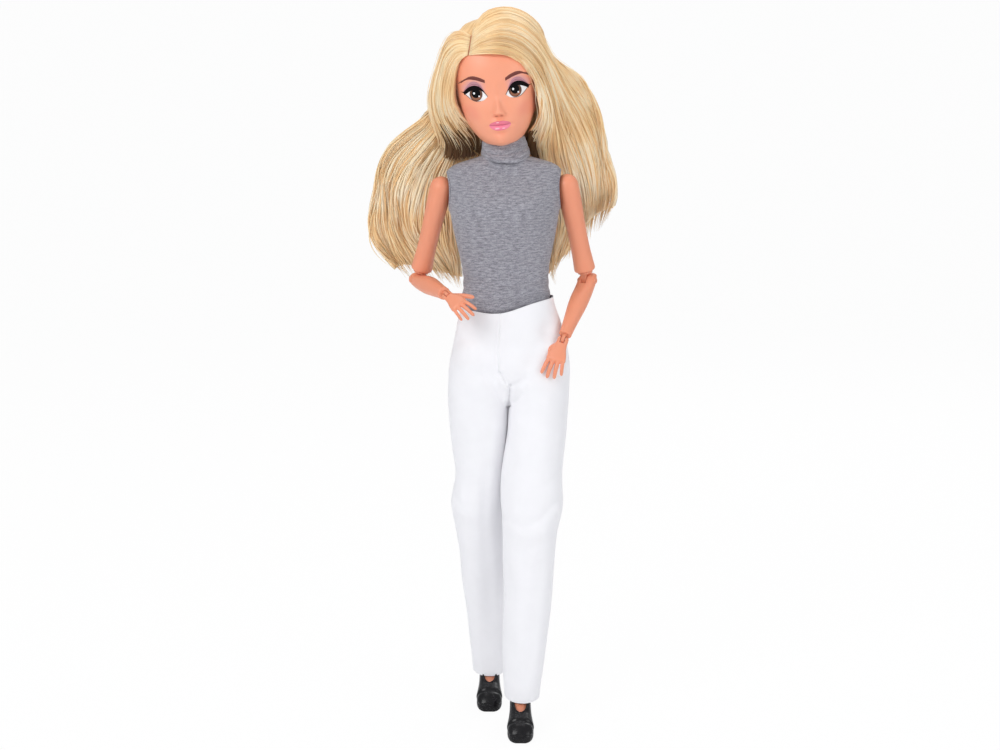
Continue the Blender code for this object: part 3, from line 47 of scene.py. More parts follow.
import bmesh
import bpy
import numpy as np
from mathutils import Matrix, Vector, kdtree

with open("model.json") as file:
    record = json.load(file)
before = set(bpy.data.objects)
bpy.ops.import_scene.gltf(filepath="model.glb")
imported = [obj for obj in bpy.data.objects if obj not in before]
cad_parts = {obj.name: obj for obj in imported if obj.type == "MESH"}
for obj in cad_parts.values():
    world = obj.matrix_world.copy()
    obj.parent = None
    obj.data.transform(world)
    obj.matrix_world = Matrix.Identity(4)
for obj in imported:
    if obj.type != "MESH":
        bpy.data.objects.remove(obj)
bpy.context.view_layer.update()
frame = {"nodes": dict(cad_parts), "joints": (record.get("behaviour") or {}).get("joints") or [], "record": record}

MM = 0.001
TAU = 2 * math.pi
SIDES = {"left": 1, "right": -1}
JOINTS = {joint["name"]: joint for joint in frame["joints"]}


# Frames of the bodies


def unit(vector):
    vector = np.asarray(vector, float)
    return vector / np.linalg.norm(vector)


class Place:
    """A body's straight frame: its origin in millimetres and its three axes as rows."""

    def __init__(self, origin, x, y, z):
        self.origin = np.asarray(origin, float)
        self.axes = np.array([x, y, z], float)

    def world(self, points):
        return np.asarray(points, float) @ self.axes + self.origin

    def local(self, points):
        return (np.asarray(points, float) - self.origin) @ self.axes.T

    def turned(self, axis, degrees):
        """The same origin with the frame turned about one of its own axes."""
        a, i = math.radians(degrees), "xyz".index(axis)
        j, k = (i + 1) % 3, (i + 2) % 3
        axes = self.axes.copy()
        axes[j] = math.cos(a) * self.axes[j] + math.sin(a) * self.axes[k]
        axes[k] = -math.sin(a) * self.axes[j] + math.cos(a) * self.axes[k]
        return Place(self.origin, *axes)


def hinge_line(name):
    joint = JOINTS[name]
    return np.array(joint["pos_m"]) / MM, unit(joint["axis"])


def chest_place():
    origin, z = hinge_line("waist_twist")
    _, y = hinge_line("waist_side_bend")
    return Place(hinge_line("waist_bow")[0], np.cross(y, z), y, z)


def head_place():
    """The head's own turn is a degree to its right of the neck plug that carries it."""
    origin, z = hinge_line("head_turn")
    _, y = hinge_line("neck_tilt")
    y = unit(y - z * (y @ z))
    return Place(origin, np.cross(y, z), y, z).turned("z", HEAD_TURN)


HEAD_TURN = -1.0
WRIST_BEND = {"left": 11.7, "right": 25.3}


def upper_arm_place(side):
    s = SIDES[side]
    origin, y = hinge_line(side + "_shoulder_raise")
    z = s * hinge_line(side + "_elbow_swivel")[1]
    return Place(origin, np.cross(-s * y, z), -s * y, z)


def forearm_place(side):
    origin, x = hinge_line(side + "_elbow_bend")
    z = SIDES[side] * hinge_line(side + "_wrist_swivel")[1]
    return Place(origin, -x, np.cross(z, -x), z)


def hand_place(side):
    origin, x = hinge_line(side + "_wrist_bend")
    z = SIDES[side] * hinge_line(side + "_wrist_swivel")[1]
    return Place(origin, x, np.cross(z, x), z).turned("x", WRIST_BEND[side])


def foot_place(side):
    return Place(hinge_line(side + "_ankle_bend")[0], (1, 0, 0), (0, 1, 0), (0, 0, 1))


WORLD = Place((0, 0, 0), (1, 0, 0), (0, 1, 0), (0, 0, 1))


# Curves and meshes


def through(knots, values, at):
    """A smooth curve through the values at the knots, read at the given places."""
    knots, values, at = (np.asarray(a, float) for a in (knots, values, at))
    if knots[0] > knots[-1]:
        knots, values = knots[::-1], values[::-1]
    slopes = np.gradient(values, knots, axis=0)
    at = np.clip(at, knots[0], knots[-1])
    i = np.clip(np.searchsorted(knots, at) - 1, 0, len(knots) - 2)
    step = knots[i + 1] - knots[i]
    t = (at - knots[i]) / step
    if values.ndim > 1:
        t, step = t[..., None], step[..., None]
    a, b = 2 * t**3 - 3 * t**2 + 1, t**3 - 2 * t**2 + t
    c, d = -2 * t**3 + 3 * t**2, t**3 - t**2
    return a * values[i] + b * step * slopes[i] + c * values[i + 1] + d * step * slopes[i + 1]


def table_rows(table, at):
    table = np.asarray(table, float)
    return through(table[:, 0], table[:, 1:], at)


def polyline(points, count):
    """A smooth path through a few points, as count points evenly spread along it."""
    points = np.asarray(points, float)
    reach = walked(points)
    fine = through(reach, points, np.linspace(0, reach[-1], count * 4))
    far = walked(fine)
    even = np.linspace(0, far[-1], count)
    return np.stack([np.interp(even, far, fine[:, k]) for k in range(3)], axis=1)


def at_level(x, y, level):
    """A ring's points x and y at one height."""
    return np.stack([x, y, np.full_like(x, level)], axis=1)


def round_turn(count):
    """Evenly spread angles of one full turn."""
    return np.arange(count) * TAU / count


def table_row(table, at):
    """One row of a table, read at one place."""
    return table_rows(table, np.array([at]))[0]


def walked(points):
    """The distance walked along a path at each of its points."""
    return np.concatenate([[0], np.cumsum(np.linalg.norm(np.diff(points, axis=0), axis=1))])


def bump_at(value, centre, spread):
    return np.exp(-(((value - centre) / spread) ** 2))


def ease(low, high, value):
    """0 below low, 1 above high and a soft step between."""
    t = np.clip((np.asarray(value, float) - low) / (high - low), 0, 1)
    return t * t * (3 - 2 * t)


def oval_ring(angles, half_width, front, back, power=2.0):
    """Points of a superellipse with its own front and back depth; angle 0 is +X, 90 degrees is +Y."""
    c, s = np.cos(angles), np.sin(angles)
    depth = np.where(s < 0, front, back)
    share = 2.0 / power
    return (half_width * np.sign(c) * np.abs(c) ** share, depth * np.sign(s) * np.abs(s) ** share)


def finish_mesh(name, points, faces, finish, place=WORLD, uv=None, smooth=True):
    """A new object in the scene from millimetre points; uv is one place in millimetres per corner."""
    mesh = bpy.data.meshes.new(name)
    mesh.from_pydata((place.world(points) * MM).tolist(), [], [tuple(f) for f in faces])
    if uv is not None:
        layer = mesh.uv_layers.new(name="cloth_mm")
        layer.data.foreach_set("uv", np.asarray(uv, np.float32).ravel())
    mesh.materials.append(finish)
    if smooth:
        mesh.polygons.foreach_set("use_smooth", [True] * len(mesh.polygons))
    mesh.update()
    made = bpy.data.objects.new(name, mesh)
    bpy.context.scene.collection.objects.link(made)
    return made


class Pile:
    """Collects surfaces so that many strands or seams can be one piece."""

    def __init__(self):
        self.points, self.faces, self.uv, self.count = [], [], [], 0

    def add(self, points, faces, uv):
        self.points.append(np.asarray(points, float))
        self.faces.extend([tuple(int(i) + self.count for i in face) for face in faces])
        self.uv.extend(uv)
        self.count += len(points)

    def grid(self, rows, wrap=False, caps=(False, False), uv=None, flip=False):
        """Quads over an array of rows of points, with optional flat ends."""
        rows = np.asarray(rows, float)
        n, m = rows.shape[:2]
        if uv is None:
            along = np.linalg.norm(np.diff(rows, axis=0), axis=2).mean(axis=1)
            around = np.linalg.norm(np.diff(rows, axis=1), axis=2).mean(axis=0)
            v = np.concatenate([[0], np.cumsum(along)])
            u = np.concatenate([[0], np.cumsum(around)])
            if wrap:
                u = np.append(u, u[-1] + np.linalg.norm(rows[:, 0] - rows[:, -1], axis=1).mean())
            uv = np.stack(np.meshgrid(u, v), axis=-1)
        faces, corners = [], []
        for i in range(n - 1):
            for j in range(m if wrap else m - 1):
                k = (j + 1) % m
                face = [i * m + j, i * m + k, (i + 1) * m + k, (i + 1) * m + j]
                spots = [uv[i][j], uv[i][j + 1], uv[i + 1][j + 1], uv[i + 1][j]]
                faces.append(face[::-1] if flip else face)
                corners.extend(spots[::-1] if flip else spots)
        for row, wanted in ((0, caps[0]), (n - 1, caps[1])):
            if wanted:
                ring = [row * m + j for j in range(m)]
                if (row == 0) != flip:
                    ring = ring[::-1]
                faces.append(ring)
                corners.extend([uv[row][i % m] for i in ring])
        self.add(rows.reshape(-1, 3), faces, corners)

    def piece(self, name, finish, place=WORLD, smooth=True):
        return finish_mesh(name, np.concatenate(self.points), self.faces, finish, place, self.uv, smooth)


def capped(rings, flip=True):
    """A new pile with one tube through the rings, closed at both ends."""
    pile = Pile()
    pile.grid(rings, wrap=True, caps=(True, True), flip=flip)
    return pile


def tube(pile, path, half_width, half_thick, sides=8, out=None, taper=None):
    """A closed tube along a path; out holds the direction in which it is thin at each point."""
    path = np.asarray(path, float)
    n = len(path)
    along = np.gradient(path, axis=0)
    along /= np.linalg.norm(along, axis=1)[:, None]
    if out is None:
        out = np.tile([0.0, -1.0, 0.3], (n, 1))
    out = out - (out * along).sum(1)[:, None] * along
    out /= np.linalg.norm(out, axis=1)[:, None] + 1e-9
    across = np.cross(along, out)
    size = np.ones(n) if taper is None else np.asarray(taper, float)
    angles = round_turn(sides)
    w = (np.asarray(half_width) * size)[..., None] * np.cos(angles)
    t = (np.asarray(half_thick) * size)[..., None] * np.sin(angles)
    rows = path[:, None] + w[..., None] * across[:, None] + t[..., None] * out[:, None]
    pile.grid(rows, wrap=True, caps=(True, True))


def apply_modifier(made, kind, **settings):
    """Add a modifier, apply it and leave the object with its new mesh."""
    modifier = made.modifiers.new(kind.lower(), kind)
    for key, value in settings.items():
        setattr(modifier, key, value)
    graph = bpy.context.evaluated_depsgraph_get()
    mesh = bpy.data.meshes.new_from_object(made.evaluated_get(graph))
    made.modifiers.clear()
    old, made.data = made.data, mesh
    bpy.data.meshes.remove(old)
    mesh.polygons.foreach_set("use_smooth", [True] * len(mesh.polygons))
    return made


def vertex_array(made):
    flat = np.empty(len(made.data.vertices) * 3)
    made.data.vertices.foreach_get("co", flat)
    return flat.reshape(-1, 3) / MM


def move_vertices(made, points):
    made.data.vertices.foreach_set("co", (points * MM).ravel())
    made.data.update()


def opened(made):
    """A bmesh copy of an object's mesh."""
    bm = bmesh.new()
    bm.from_mesh(made.data)
    return bm


def put_back(bm, made):
    bm.to_mesh(made.data)
    bm.free()


def settle(made, body, slot, *replaced):
    """Every piece rides on one body and may stand for CAD nodes, which are hidden; its finish slot is not used."""
    if body:
        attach(made, body)
    if replaced:
        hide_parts(*replaced)
    return made


# Effects and finishes


def effect_group(name, inputs, outputs):
    """An empty shader node group; an input whose default is None is a vector, the rest are values."""
    group = bpy.data.node_groups.new(name, "ShaderNodeTree")
    for label, value in inputs.items():
        kind = "NodeSocketVector" if value is None else "NodeSocketFloat"
        socket = group.interface.new_socket(label, in_out="INPUT", socket_type=kind)
        if value is not None:
            socket.default_value = value
    for label in outputs:
        group.interface.new_socket(label, in_out="OUTPUT", socket_type="NodeSocketFloat")
    return group, group.nodes.new("NodeGroupInput"), group.nodes.new("NodeGroupOutput")


def node(tree, kind, settings=None, **links):
    """A node with its settings, and its inputs linked to sockets or set to values."""
    made = tree.nodes.new("ShaderNode" + kind)
    for key, value in (settings or {}).items():
        setattr(made, key, value)
    for label, value in links.items():
        numbered = label[0] == "i" and label[1:].isdigit()
        target = made.inputs[int(label[1:]) if numbered else label]
        if isinstance(value, bpy.types.NodeSocket):
            tree.links.new(value, target)
        else:
            target.default_value = value
    return made


def maths(tree, operation, *values):
    made = node(tree, "Math", {"operation": operation},
                **{f"i{i}": value for i, value in enumerate(values)})
    return made.outputs[0]


def times(tree, first, second):
    return maths(tree, "MULTIPLY", first, second)


def plus(tree, first, second):
    return maths(tree, "ADD", first, second)


def give(group, result, **sockets):
    """Link sockets to the named outputs of a node group."""
    for label, socket in sockets.items():
        group.links.new(socket, result.inputs[label])


def blended(tree, amount, first, second):
    """Two colours mixed by an amount."""
    made = tree.nodes.new("ShaderNodeMix")
    made.data_type, made.blend_type = "RGBA", "MIX"
    for socket, value in ((made.inputs[0], amount), (made.inputs[6], first), (made.inputs[7], second)):
        if isinstance(value, bpy.types.NodeSocket):
            tree.links.new(value, socket)
        else:
            socket.default_value = value if isinstance(value, float) else (*value, 1.0)[:4]
    return made.outputs[2]


def soft_step(tree, value, low, high):
    """0 below low and 1 above high."""
    made = node(tree, "MapRange", {"interpolation_type": "SMOOTHSTEP"},
                **{"Value": value, "From Min": low, "From Max": high})
    return made.outputs["Result"]


def stretched(tree, vector, scale, turn=0.0):
    """The vector scaled per axis, for streaks and weaves."""
    return node(tree, "Mapping", Vector=vector, Scale=scale, Rotation=(0.0, 0.0, turn)).outputs[0]


def noise(tree, vector, scale, detail=2.0, rough=0.5):
    return node(tree, "TexNoise", Vector=vector, Scale=scale, Detail=detail, Roughness=rough).outputs["Fac"]


def vinyl_skin_effect():
    """Faint mottling, moulding grain and shine changes of soft vinyl."""
    group, given, result = effect_group("moulded vinyl", {"Place": None}, ("Mottle", "Grain", "Shine"))
    place = given.outputs["Place"]
    mottle = noise(group, place, 160.0, 3.0, 0.55)
    grain = noise(group, place, 5200.0, 2.0, 0.5)
    soft = noise(group, place, 900.0, 2.0, 0.5)
    height = plus(group, times(group, grain, 0.35), times(group, soft, 0.65))
    give(group, result, Mottle=mottle, Grain=height, Shine=soft_step(group, soft, 0.3, 0.7))
    return group


def strand_effect():
    """Long streaks along a lock of hair: U runs across the strands and V along them."""
    group, given, result = effect_group("combed strands", {"UV": None, "Place": None},
                                        ("Light", "Dark", "Height"))
    uv = given.outputs["UV"]
    fine = noise(group, stretched(group, uv, (5.5, 0.05, 1.0)), 1.0, 3.0, 0.62)
    broad = noise(group, stretched(group, uv, (0.9, 0.03, 1.0)), 1.0, 2.0, 0.5)
    patch = noise(group, given.outputs["Place"], 70.0, 2.0, 0.5)
    both = plus(group, times(group, fine, 0.55), times(group, broad, 0.45))
    light = soft_step(group, plus(group, both, times(group, patch, 0.40)), 0.58, 0.82)
    dark = soft_step(group, plus(group, both, times(group, patch, 0.25)), 0.63, 0.43)
    give(group, result, Light=light, Dark=dark, Height=fine)
    return group


def knit_effect():
    """Heather jersey: slubs along the rows, fine loops and pale flecks. UV is in millimetres."""
    group, given, result = effect_group("heather knit", {"UV": None}, ("Slub", "Fleck", "Loop"))
    uv = given.outputs["UV"]
    slub = noise(group, stretched(group, uv, (0.34, 1.5, 1.0)), 1.0, 4.0, 0.72)
    row = noise(group, stretched(group, uv, (1.3, 3.6, 1.0)), 1.0, 3.0, 0.7)
    both = plus(group, times(group, slub, 0.6), times(group, row, 0.4))
    split = node(group, "SeparateXYZ", Vector=uv)
    across = maths(group, "SINE", times(group, split.outputs[0], TAU / 0.52))
    down = maths(group, "SINE", times(group, split.outputs[1], TAU / 0.46))
    loop = maths(group, "MULTIPLY_ADD", times(group, across, down), 0.5, 0.5)
    speck = noise(group, stretched(group, uv, (1.7, 4.2, 1.0)), 1.0, 1.0, 0.5)
    give(group, result, Slub=soft_step(group, both, 0.34, 0.68), Fleck=soft_step(group, speck, 0.68, 0.78),
         Loop=loop)
    return group


def weave_effect():
    """Fine twill and a little slub, in object space so that it doesn't depend on seams."""
    group, given, result = effect_group("smooth twill", {"Place": None}, ("Weave", "Cloud"))
    place = given.outputs["Place"]
    split = node(group, "SeparateXYZ", Vector=place)
    x, y, z = split.outputs
    flat = plus(group, x, times(group, y, 0.7))
    twill = maths(group, "SINE", times(group, plus(group, flat, z), TAU / 0.00042))
    cross = maths(group, "SINE", times(group, maths(group, "SUBTRACT", flat, z), TAU / 0.00036))
    thread = noise(group, place, 2600.0, 2.0, 0.6)
    height = plus(group, maths(group, "MULTIPLY_ADD", plus(group, twill, cross), 0.16, 0.3),
                   times(group, thread, 0.4))
    give(group, result, Weave=height, Cloud=noise(group, place, 120.0, 3.0, 0.55))
    return group


def make_up_effect():
    """A soft oval of face paint: 1 at its centre, fading over its edge. UV is in millimetres."""
    group, given, result = effect_group(
        "sprayed spot", {"UV": None, "Across": 0.0, "Up": 0.0, "Half Width": 1.0, "Half Height": 1.0,
                         "Slant": 0.0}, ("Paint",))
    split = node(group, "SeparateXYZ", Vector=given.outputs["UV"])
    dx = maths(group, "SUBTRACT", split.outputs[0], given.outputs["Across"])
    dz = maths(group, "SUBTRACT", split.outputs[1], given.outputs["Up"])
    dz = maths(group, "SUBTRACT", dz, times(group, dx, given.outputs["Slant"]))
    a = maths(group, "POWER", maths(group, "DIVIDE", dx, given.outputs["Half Width"]), 2.0)
    b = maths(group, "POWER", maths(group, "DIVIDE", dz, given.outputs["Half Height"]), 2.0)
    give(group, result, Paint=soft_step(group, maths(group, "SQRT", plus(group, a, b)), 1.0, 0.25))
    return group


EFFECTS = {}


def effect(name):
    makers = {"vinyl": vinyl_skin_effect, "strands": strand_effect, "knit": knit_effect,
              "weave": weave_effect, "spot": make_up_effect}
    if name not in EFFECTS:
        EFFECTS[name] = makers[name]()
    return EFFECTS[name]


class Finish:
    """A material with its Principled shader and the shared effects placed in it."""

    def __init__(self, name, rough, **constants):
        self.material = bpy.data.materials.new(name)
        self.material.use_nodes = True
        self.tree = self.material.node_tree
        self.shader = self.tree.nodes["Principled BSDF"]
        self.shader.inputs["Roughness"].default_value = rough
        for label, value in constants.items():
            self.shader.inputs[label.replace("_", " ")].default_value = value
        self.coordinates = self.tree.nodes.new("ShaderNodeTexCoord")
        self.uv = self.coordinates.outputs["UV"]
        self.place = self.coordinates.outputs["Object"]

    def use(self, name, **links):
        made = self.tree.nodes.new("ShaderNodeGroup")
        made.node_tree = effect(name)
        for label, value in links.items():
            socket = made.inputs[label.replace("_", " ")]
            if isinstance(value, bpy.types.NodeSocket):
                self.tree.links.new(value, socket)
            else:
                socket.default_value = value
        return made.outputs

    def colour(self, socket):
        self.tree.links.new(socket, self.shader.inputs["Base Color"])

    def rough(self, amount, low, high):
        spread = node(self.tree, "MapRange", Value=amount, **{"To Min": low, "To Max": high})
        self.tree.links.new(spread.outputs["Result"], self.shader.inputs["Roughness"])

    def raised(self, height, distance, strength=1.0):
        bump = node(self.tree, "Bump", Height=height, Distance=distance, Strength=strength)
        self.tree.links.new(bump.outputs[0], self.shader.inputs["Normal"])


def shade(colour, share):
    return tuple(min(1.0, c * share) for c in colour[:3])


def skin_finish(name, colour, rough=0.40):
    made = Finish(name, rough, Subsurface_Weight=0.06, Subsurface_Scale=0.0012)
    effects = made.use("vinyl", Place=made.place)
    made.colour(blended(made.tree, effects["Mottle"], shade(colour, 0.965), shade(colour, 1.03)))
    made.rough(effects["Shine"], rough - 0.05, rough + 0.06)
    made.raised(effects["Grain"], 0.00003, 0.35)
    return made


# Painted shadow under the nose: a darker skin colour sprayed in two small spots below the nostrils.
PAINTED_SHADOW_UNDER_NOSE = (0.50, 0.15, 0.09)


def face_finish(face):
    """Skin with sprayed eyeshadow and blush and a painted shadow under the nose; UV is the face seen flat."""
    made = Finish("painted_face_vinyl", 0.40, Subsurface_Weight=0.06, Subsurface_Scale=0.0012)
    effects = made.use("vinyl", Place=made.place)
    skin = tuple(face.skin)
    tone = blended(made.tree, effects["Mottle"], shade(skin, 0.97), shade(skin, 1.025))
    spots = (
        # across, up, half width, half height, slant, colour, strength; mirrored where across isn't zero
        (8.6, 25.3, 5.6, 3.1, 0.06, face.eyeshadow, 0.80),
        (12.2, 24.3, 2.9, 2.2, 0.25, face.eyeshadow, 0.45),
        (11.5, 14.6, 6.0, 4.6, 0.35, face.blush, 0.42),
        (5.2, 23.0, 1.6, 2.2, 0.0, face.eyeshadow, 0.22),
        (0.0, 5.4, 3.4, 1.0, 0.0, face.blush, 0.18),
        # painted shadow under the nostrils, where the nose shades the skin below it
        (1.05, 12.25, 1.0, 0.5, 0.0, PAINTED_SHADOW_UNDER_NOSE, 0.55),
    )
    for across, up, wide, high, slant, colour, strength in spots:
        for s in (-1, 1) if across else (1,):
            paint = made.use("spot", UV=made.uv, Across=s * across, Up=up, Half_Width=wide,
                             Half_Height=high, Slant=s * slant)["Paint"]
            tone = blended(made.tree, times(made.tree, paint, strength), tone, tuple(colour))
    made.colour(tone)
    made.rough(effects["Shine"], 0.36, 0.46)
    made.raised(effects["Grain"], 0.00003, 0.3)
    return made.material


def paint_finish(name, colour, rough=0.35, coat=0.0, gloss=0.35):
    """Thin printed paint: its colour varies a little and the vinyl's grain shows through."""
    made = Finish(name, rough, Coat_Weight=coat, Specular_IOR_Level=gloss)
    effects = made.use("vinyl", Place=made.place)
    made.colour(blended(made.tree, effects["Mottle"], shade(colour, 0.93), shade(colour, 1.06)))
    made.raised(effects["Grain"], 0.00002, 0.3)
    return made.material


def hair_finish(name, light, mid, dark, rough=0.34, dark_share=0.75, sheen=0.06):
    made = Finish(name, rough, Anisotropic=0.55, Sheen_Weight=sheen, Sheen_Roughness=0.35,
                  Specular_IOR_Level=0.26)
    effects = made.use("strands", UV=made.uv, Place=made.place)
    tone = blended(made.tree, effects["Light"], mid, light)
    tone = blended(made.tree, times(made.tree, effects["Dark"], dark_share), tone, dark)
    made.colour(tone)
    made.rough(effects["Height"], rough - 0.04, rough + 0.12)
    made.raised(effects["Height"], 0.00022, 0.9)
    return made.material


def knit_finish(cloth):
    made = Finish("heather_knit", 0.88, Sheen_Weight=0.25, Sheen_Roughness=0.5)
    effects = made.use("knit", UV=made.uv)
    tone = blended(made.tree, effects["Slub"], tuple(cloth.knit_dark), tuple(cloth.knit_light))
    hollows, flecks = times(made.tree, effects["Loop"], 0.30), times(made.tree, effects["Fleck"], 0.65)
    tone = blended(made.tree, hollows, tone, shade(cloth.knit_dark, 0.8))
    tone = blended(made.tree, flecks, tone, tuple(cloth.knit_fleck))
    made.colour(tone)
    made.rough(effects["Slub"], 0.82, 0.94)
    made.raised(plus(made.tree, effects["Loop"], effects["Slub"]), 0.00012, 0.8)
    return made.material


def trouser_finish(cloth):
    made = Finish("white_twill", 0.78, Sheen_Weight=0.12, Sheen_Roughness=0.5)
    effects = made.use("weave", Place=made.place)
    tone = blended(made.tree, effects["Cloud"], shade(cloth.trousers, 0.96), shade(cloth.trousers, 1.02))
    made.colour(tone)
    made.rough(effects["Weave"], 0.72, 0.86)
    made.raised(effects["Weave"], 0.00005, 0.6)
    return made.material


def boot_finish(boots):
    made = Finish("glossy_boot_vinyl", 0.3, Coat_Weight=0.14, Coat_Roughness=0.12,
                  Specular_IOR_Level=0.22)
    effects = made.use("vinyl", Place=made.place)
    colour = tuple(boots.colour)
    made.colour(blended(made.tree, effects["Mottle"], shade(colour, 0.75), shade(colour, 1.6)))
    made.rough(effects["Shine"], 0.27, 0.31)
    made.raised(effects["Grain"], 0.00001, 0.1)
    return made.material


# Sizes and colours that a user may change


def length(label, text, default):
    return bpy.props.FloatProperty(name=label, description=text, default=default, min=0.0, unit="LENGTH",
                                   precision=5)


def colour(label, text, default):
    return bpy.props.FloatVectorProperty(name=label, description=text, default=default, size=3,
                                         subtype="COLOR", min=0.0, max=1.0)


class DollFaceSettings(bpy.types.PropertyGroup):
    """Skin and face paint."""

    skin: colour("Face skin", "Colour of the painted head's vinyl", (0.925, 0.366, 0.222))
    limb_skin: colour("Limb skin", "Colour of the arms, hands and legs", (0.85, 0.316, 0.182))
    eyeshadow: colour("Eyeshadow", "Sprayed colour between lash and brow", (0.68, 0.35, 0.385))
    blush: colour("Blush", "Sprayed colour on the cheeks", (0.88, 0.27, 0.19))
    lips: colour("Lips", "Glossy lip paint", (0.92, 0.215, 0.31))
    iris: colour("Iris", "Painted iris", (0.11, 0.042, 0.022))
    brows: colour("Brows", "Painted brow hairs", (0.19, 0.06, 0.05))
    paint_lift: length("Paint lift", "How far the printed paint stands off the vinyl", 0.04 * MM)
    nose_reach: length("Nose reach", "How far the tip of the nose stands forward", 2.7 * MM)


class DollHairSettings(bpy.types.PropertyGroup):
    """Golden hair."""

    light: colour("Highlights", "Lit strands", (1.0, 0.88, 0.66))
    mid: colour("Hair", "Main hair colour", (1.0, 0.68, 0.35))
    dark: colour("Shadow strands", "Strands in the depth of the hair", (0.78, 0.39, 0.145))
    deep: colour("Neck shadow", "Hair beside the neck", (0.09, 0.025, 0.006))
    flyaways: bpy.props.IntProperty(name="Flyaways", description="Loose single strands", default=90, min=0)


class DollClothesSettings(bpy.types.PropertyGroup):
    """Knit top and trousers."""

    knit_light: colour("Knit light", "Pale slubs of the heather knit", (0.56, 0.55, 0.605))
    knit_dark: colour("Knit dark", "Dark slubs of the heather knit", (0.165, 0.16, 0.19))
    knit_fleck: colour("Knit flecks", "Small pale flecks", (0.85, 0.84, 0.86))
    trousers: colour("Trousers", "White cloth of the trousers", (0.90, 0.895, 0.92))
    knit_thickness: length("Knit thickness", "Thickness of the knit", 0.55 * MM)


class DollBootSettings(bpy.types.PropertyGroup):
    """Platform ankle boots."""

    colour: colour("Boots", "Glossy black vinyl", (0.006, 0.0055, 0.0065))


class DollStageSettings(bpy.types.PropertyGroup):
    """Floor, light and camera."""

    floor: colour("Floor", "Colour of the floor and backdrop", (0.93, 0.93, 0.935))
    lens_mm: bpy.props.FloatProperty(name="Lens", description="Camera lens on a 36 mm sensor",
                                     default=70.294, min=1.0)
    camera_height: length("Camera height", "Height of the camera over the floor", 295.36 * MM)


SETTINGS = {"doll_face": DollFaceSettings, "doll_hair": DollHairSettings,
            "doll_clothes": DollClothesSettings, "doll_boots": DollBootSettings,
            "doll_stage": DollStageSettings}


# Head and face

HEAD_ROWS = (
    # height, half width, front, back, squareness
    (0.1, 3, 12.4, 1, 2),
    (0.8, 5.8, 14.1, 2.6, 2),
    (2.1, 8, 15, 4.6, 2.05),
    (4.3, 10, 15.7, 7, 2.1),
    (7.5, 12.1, 16.2, 9.8, 2.2),
    (10.5, 13.6, 16.6, 12.4, 2.25),
    (15, 15.2, 16.9, 16, 2.3),
    (20, 16.4, 17, 18, 2.35),
    (25, 17.4, 17.1, 19.4, 2.35),
    (30, 18.1, 17.3, 20, 2.3),
    (35, 18, 16.6, 19.9, 2.25),
    (40, 16.7, 14.7, 18.4, 2.2),
    (44, 14.2, 12, 15.6, 2.1),
    (47.2, 10.2, 8.6, 11.4, 2),
    (49.2, 5.4, 4.6, 6.2, 2),
    (50, 0.6, 0.6, 0.8, 2),
)
EYE_ACROSS, EYE_UP = 7.85, 21.75
MOUTH_UP = 8.5
FACE_RELIEF = (
    # across, up, spread across, spread up, height; mirrored where across isn't zero
    (0, 31.5, 9, 6.5, 0.35),
    (8.3, 26.9, 5, 2, 0.30),
    (7.6, 22.2, 5.2, 3.3, -1.35),
    (7.9, 22.2, 4, 2.5, 0.95),
    (8.6, 25.2, 4.2, 0.75, -0.22),
    (0, 21.5, 2.2, 4.6, 0.75),
    (10, 14.8, 4.8, 4.4, 0.75),
    (0, 9, 6.4, 4.4, 0.95),
    (0, 9.75, 3.5, 1.05, 0.75),
    (0, 7.35, 2.9, 1.15, 0.95),
    (0, 8.55, 4.4, 0.42, -0.55),
    (1.15, 10.35, 0.9, 0.7, 0.16),
    (0, 11.7, 0.75, 1.2, -0.28),
    (0, 5.45, 3.4, 0.9, -0.50),
    (4.7, 8.7, 1.1, 1.3, -0.35),
    (0, 2.7, 3.4, 2.4, 1.15),
    (1.8, 13.2, 0.95, 0.95, 0.9),
)


def face_relief(x, z, nose_reach):
    """How far the face stands in front of the plain oval of the head, in millimetres."""
    high = np.zeros_like(x)
    for across, up, wide, tall, amount in FACE_RELIEF:
        for s in (1, -1) if across else (1,):
            high += amount * bump_at(x, s * across, wide) * bump_at(z, up, tall)
    rise = ease(21.5, 14.2, z) ** 1.25 * ease(12.15, 13.35, z)
    half = 1.05 + 0.95 * ease(18.5, 13.5, z)
    high += nose_reach * rise * bump_at(x, 0, half) * 0.92
    for nostril in (1, -1):
        high -= 0.7 * bump_at(x, nostril, 0.45) * bump_at(z, 12.4, 0.34)
    return high


def face_front(x, z, nose_reach):
    """The y of the face's surface at places seen from the front."""
    x, z = np.broadcast_arrays(np.asarray(x, float), np.asarray(z, float))
    half, front, _, power = (table_rows(HEAD_ROWS, z)[..., k] for k in range(4))
    side = np.clip(np.abs(x) / half, 0, 0.995)
    return -front * (1 - side**power) ** (1 / power) - face_relief(x, z, nose_reach)


def head_surface(face):
    """The vinyl head: an oval with eye hollows, nose, lips, chin, cheeks and ears pushed out of it."""
    levels = np.concatenate([np.linspace(0.1, 3, 13)[:-1], np.linspace(3, 34, 118)[:-1],
                             np.linspace(34, 50, 34)])
    front_half = np.linspace(-0.5, 0.5, 150)
    spread = np.sign(front_half) * np.abs(front_half * 2) ** 1.12 / 2
    angles = np.concatenate([-TAU / 4 + spread * TAU / 2, np.linspace(0, TAU / 2, 62)[1:-1]])
    rows = []
    reach = face.nose_reach / MM
    for z in levels:
        half, front, back, power = table_rows(HEAD_ROWS, z)
        x, y = oval_ring(angles, half, front, back, power)
        inward = ease(-0.2 * front, -0.75 * front, y)
        y = y - face_relief(x, np.full_like(x, z), reach) * inward
        ear = bump_at(y, 1.6, 2.1) * bump_at(z, 17.6, 4) * (np.abs(x) > 8)
        dent = bump_at(y, 1.4, 1) * bump_at(z, 18.4, 2.3) * (np.abs(x) > 8)
        x = x + np.sign(x) * (1.7 * ear - 1.3 * dent)
        rows.append(at_level(x, y, z))
    rows = np.array(rows)
    uv = np.concatenate([rows[:, :, ::2], rows[:, :1, ::2]], axis=1)
    pile = Pile()
    pile.grid(rows, wrap=True, caps=(True, True), uv=uv)
    return pile


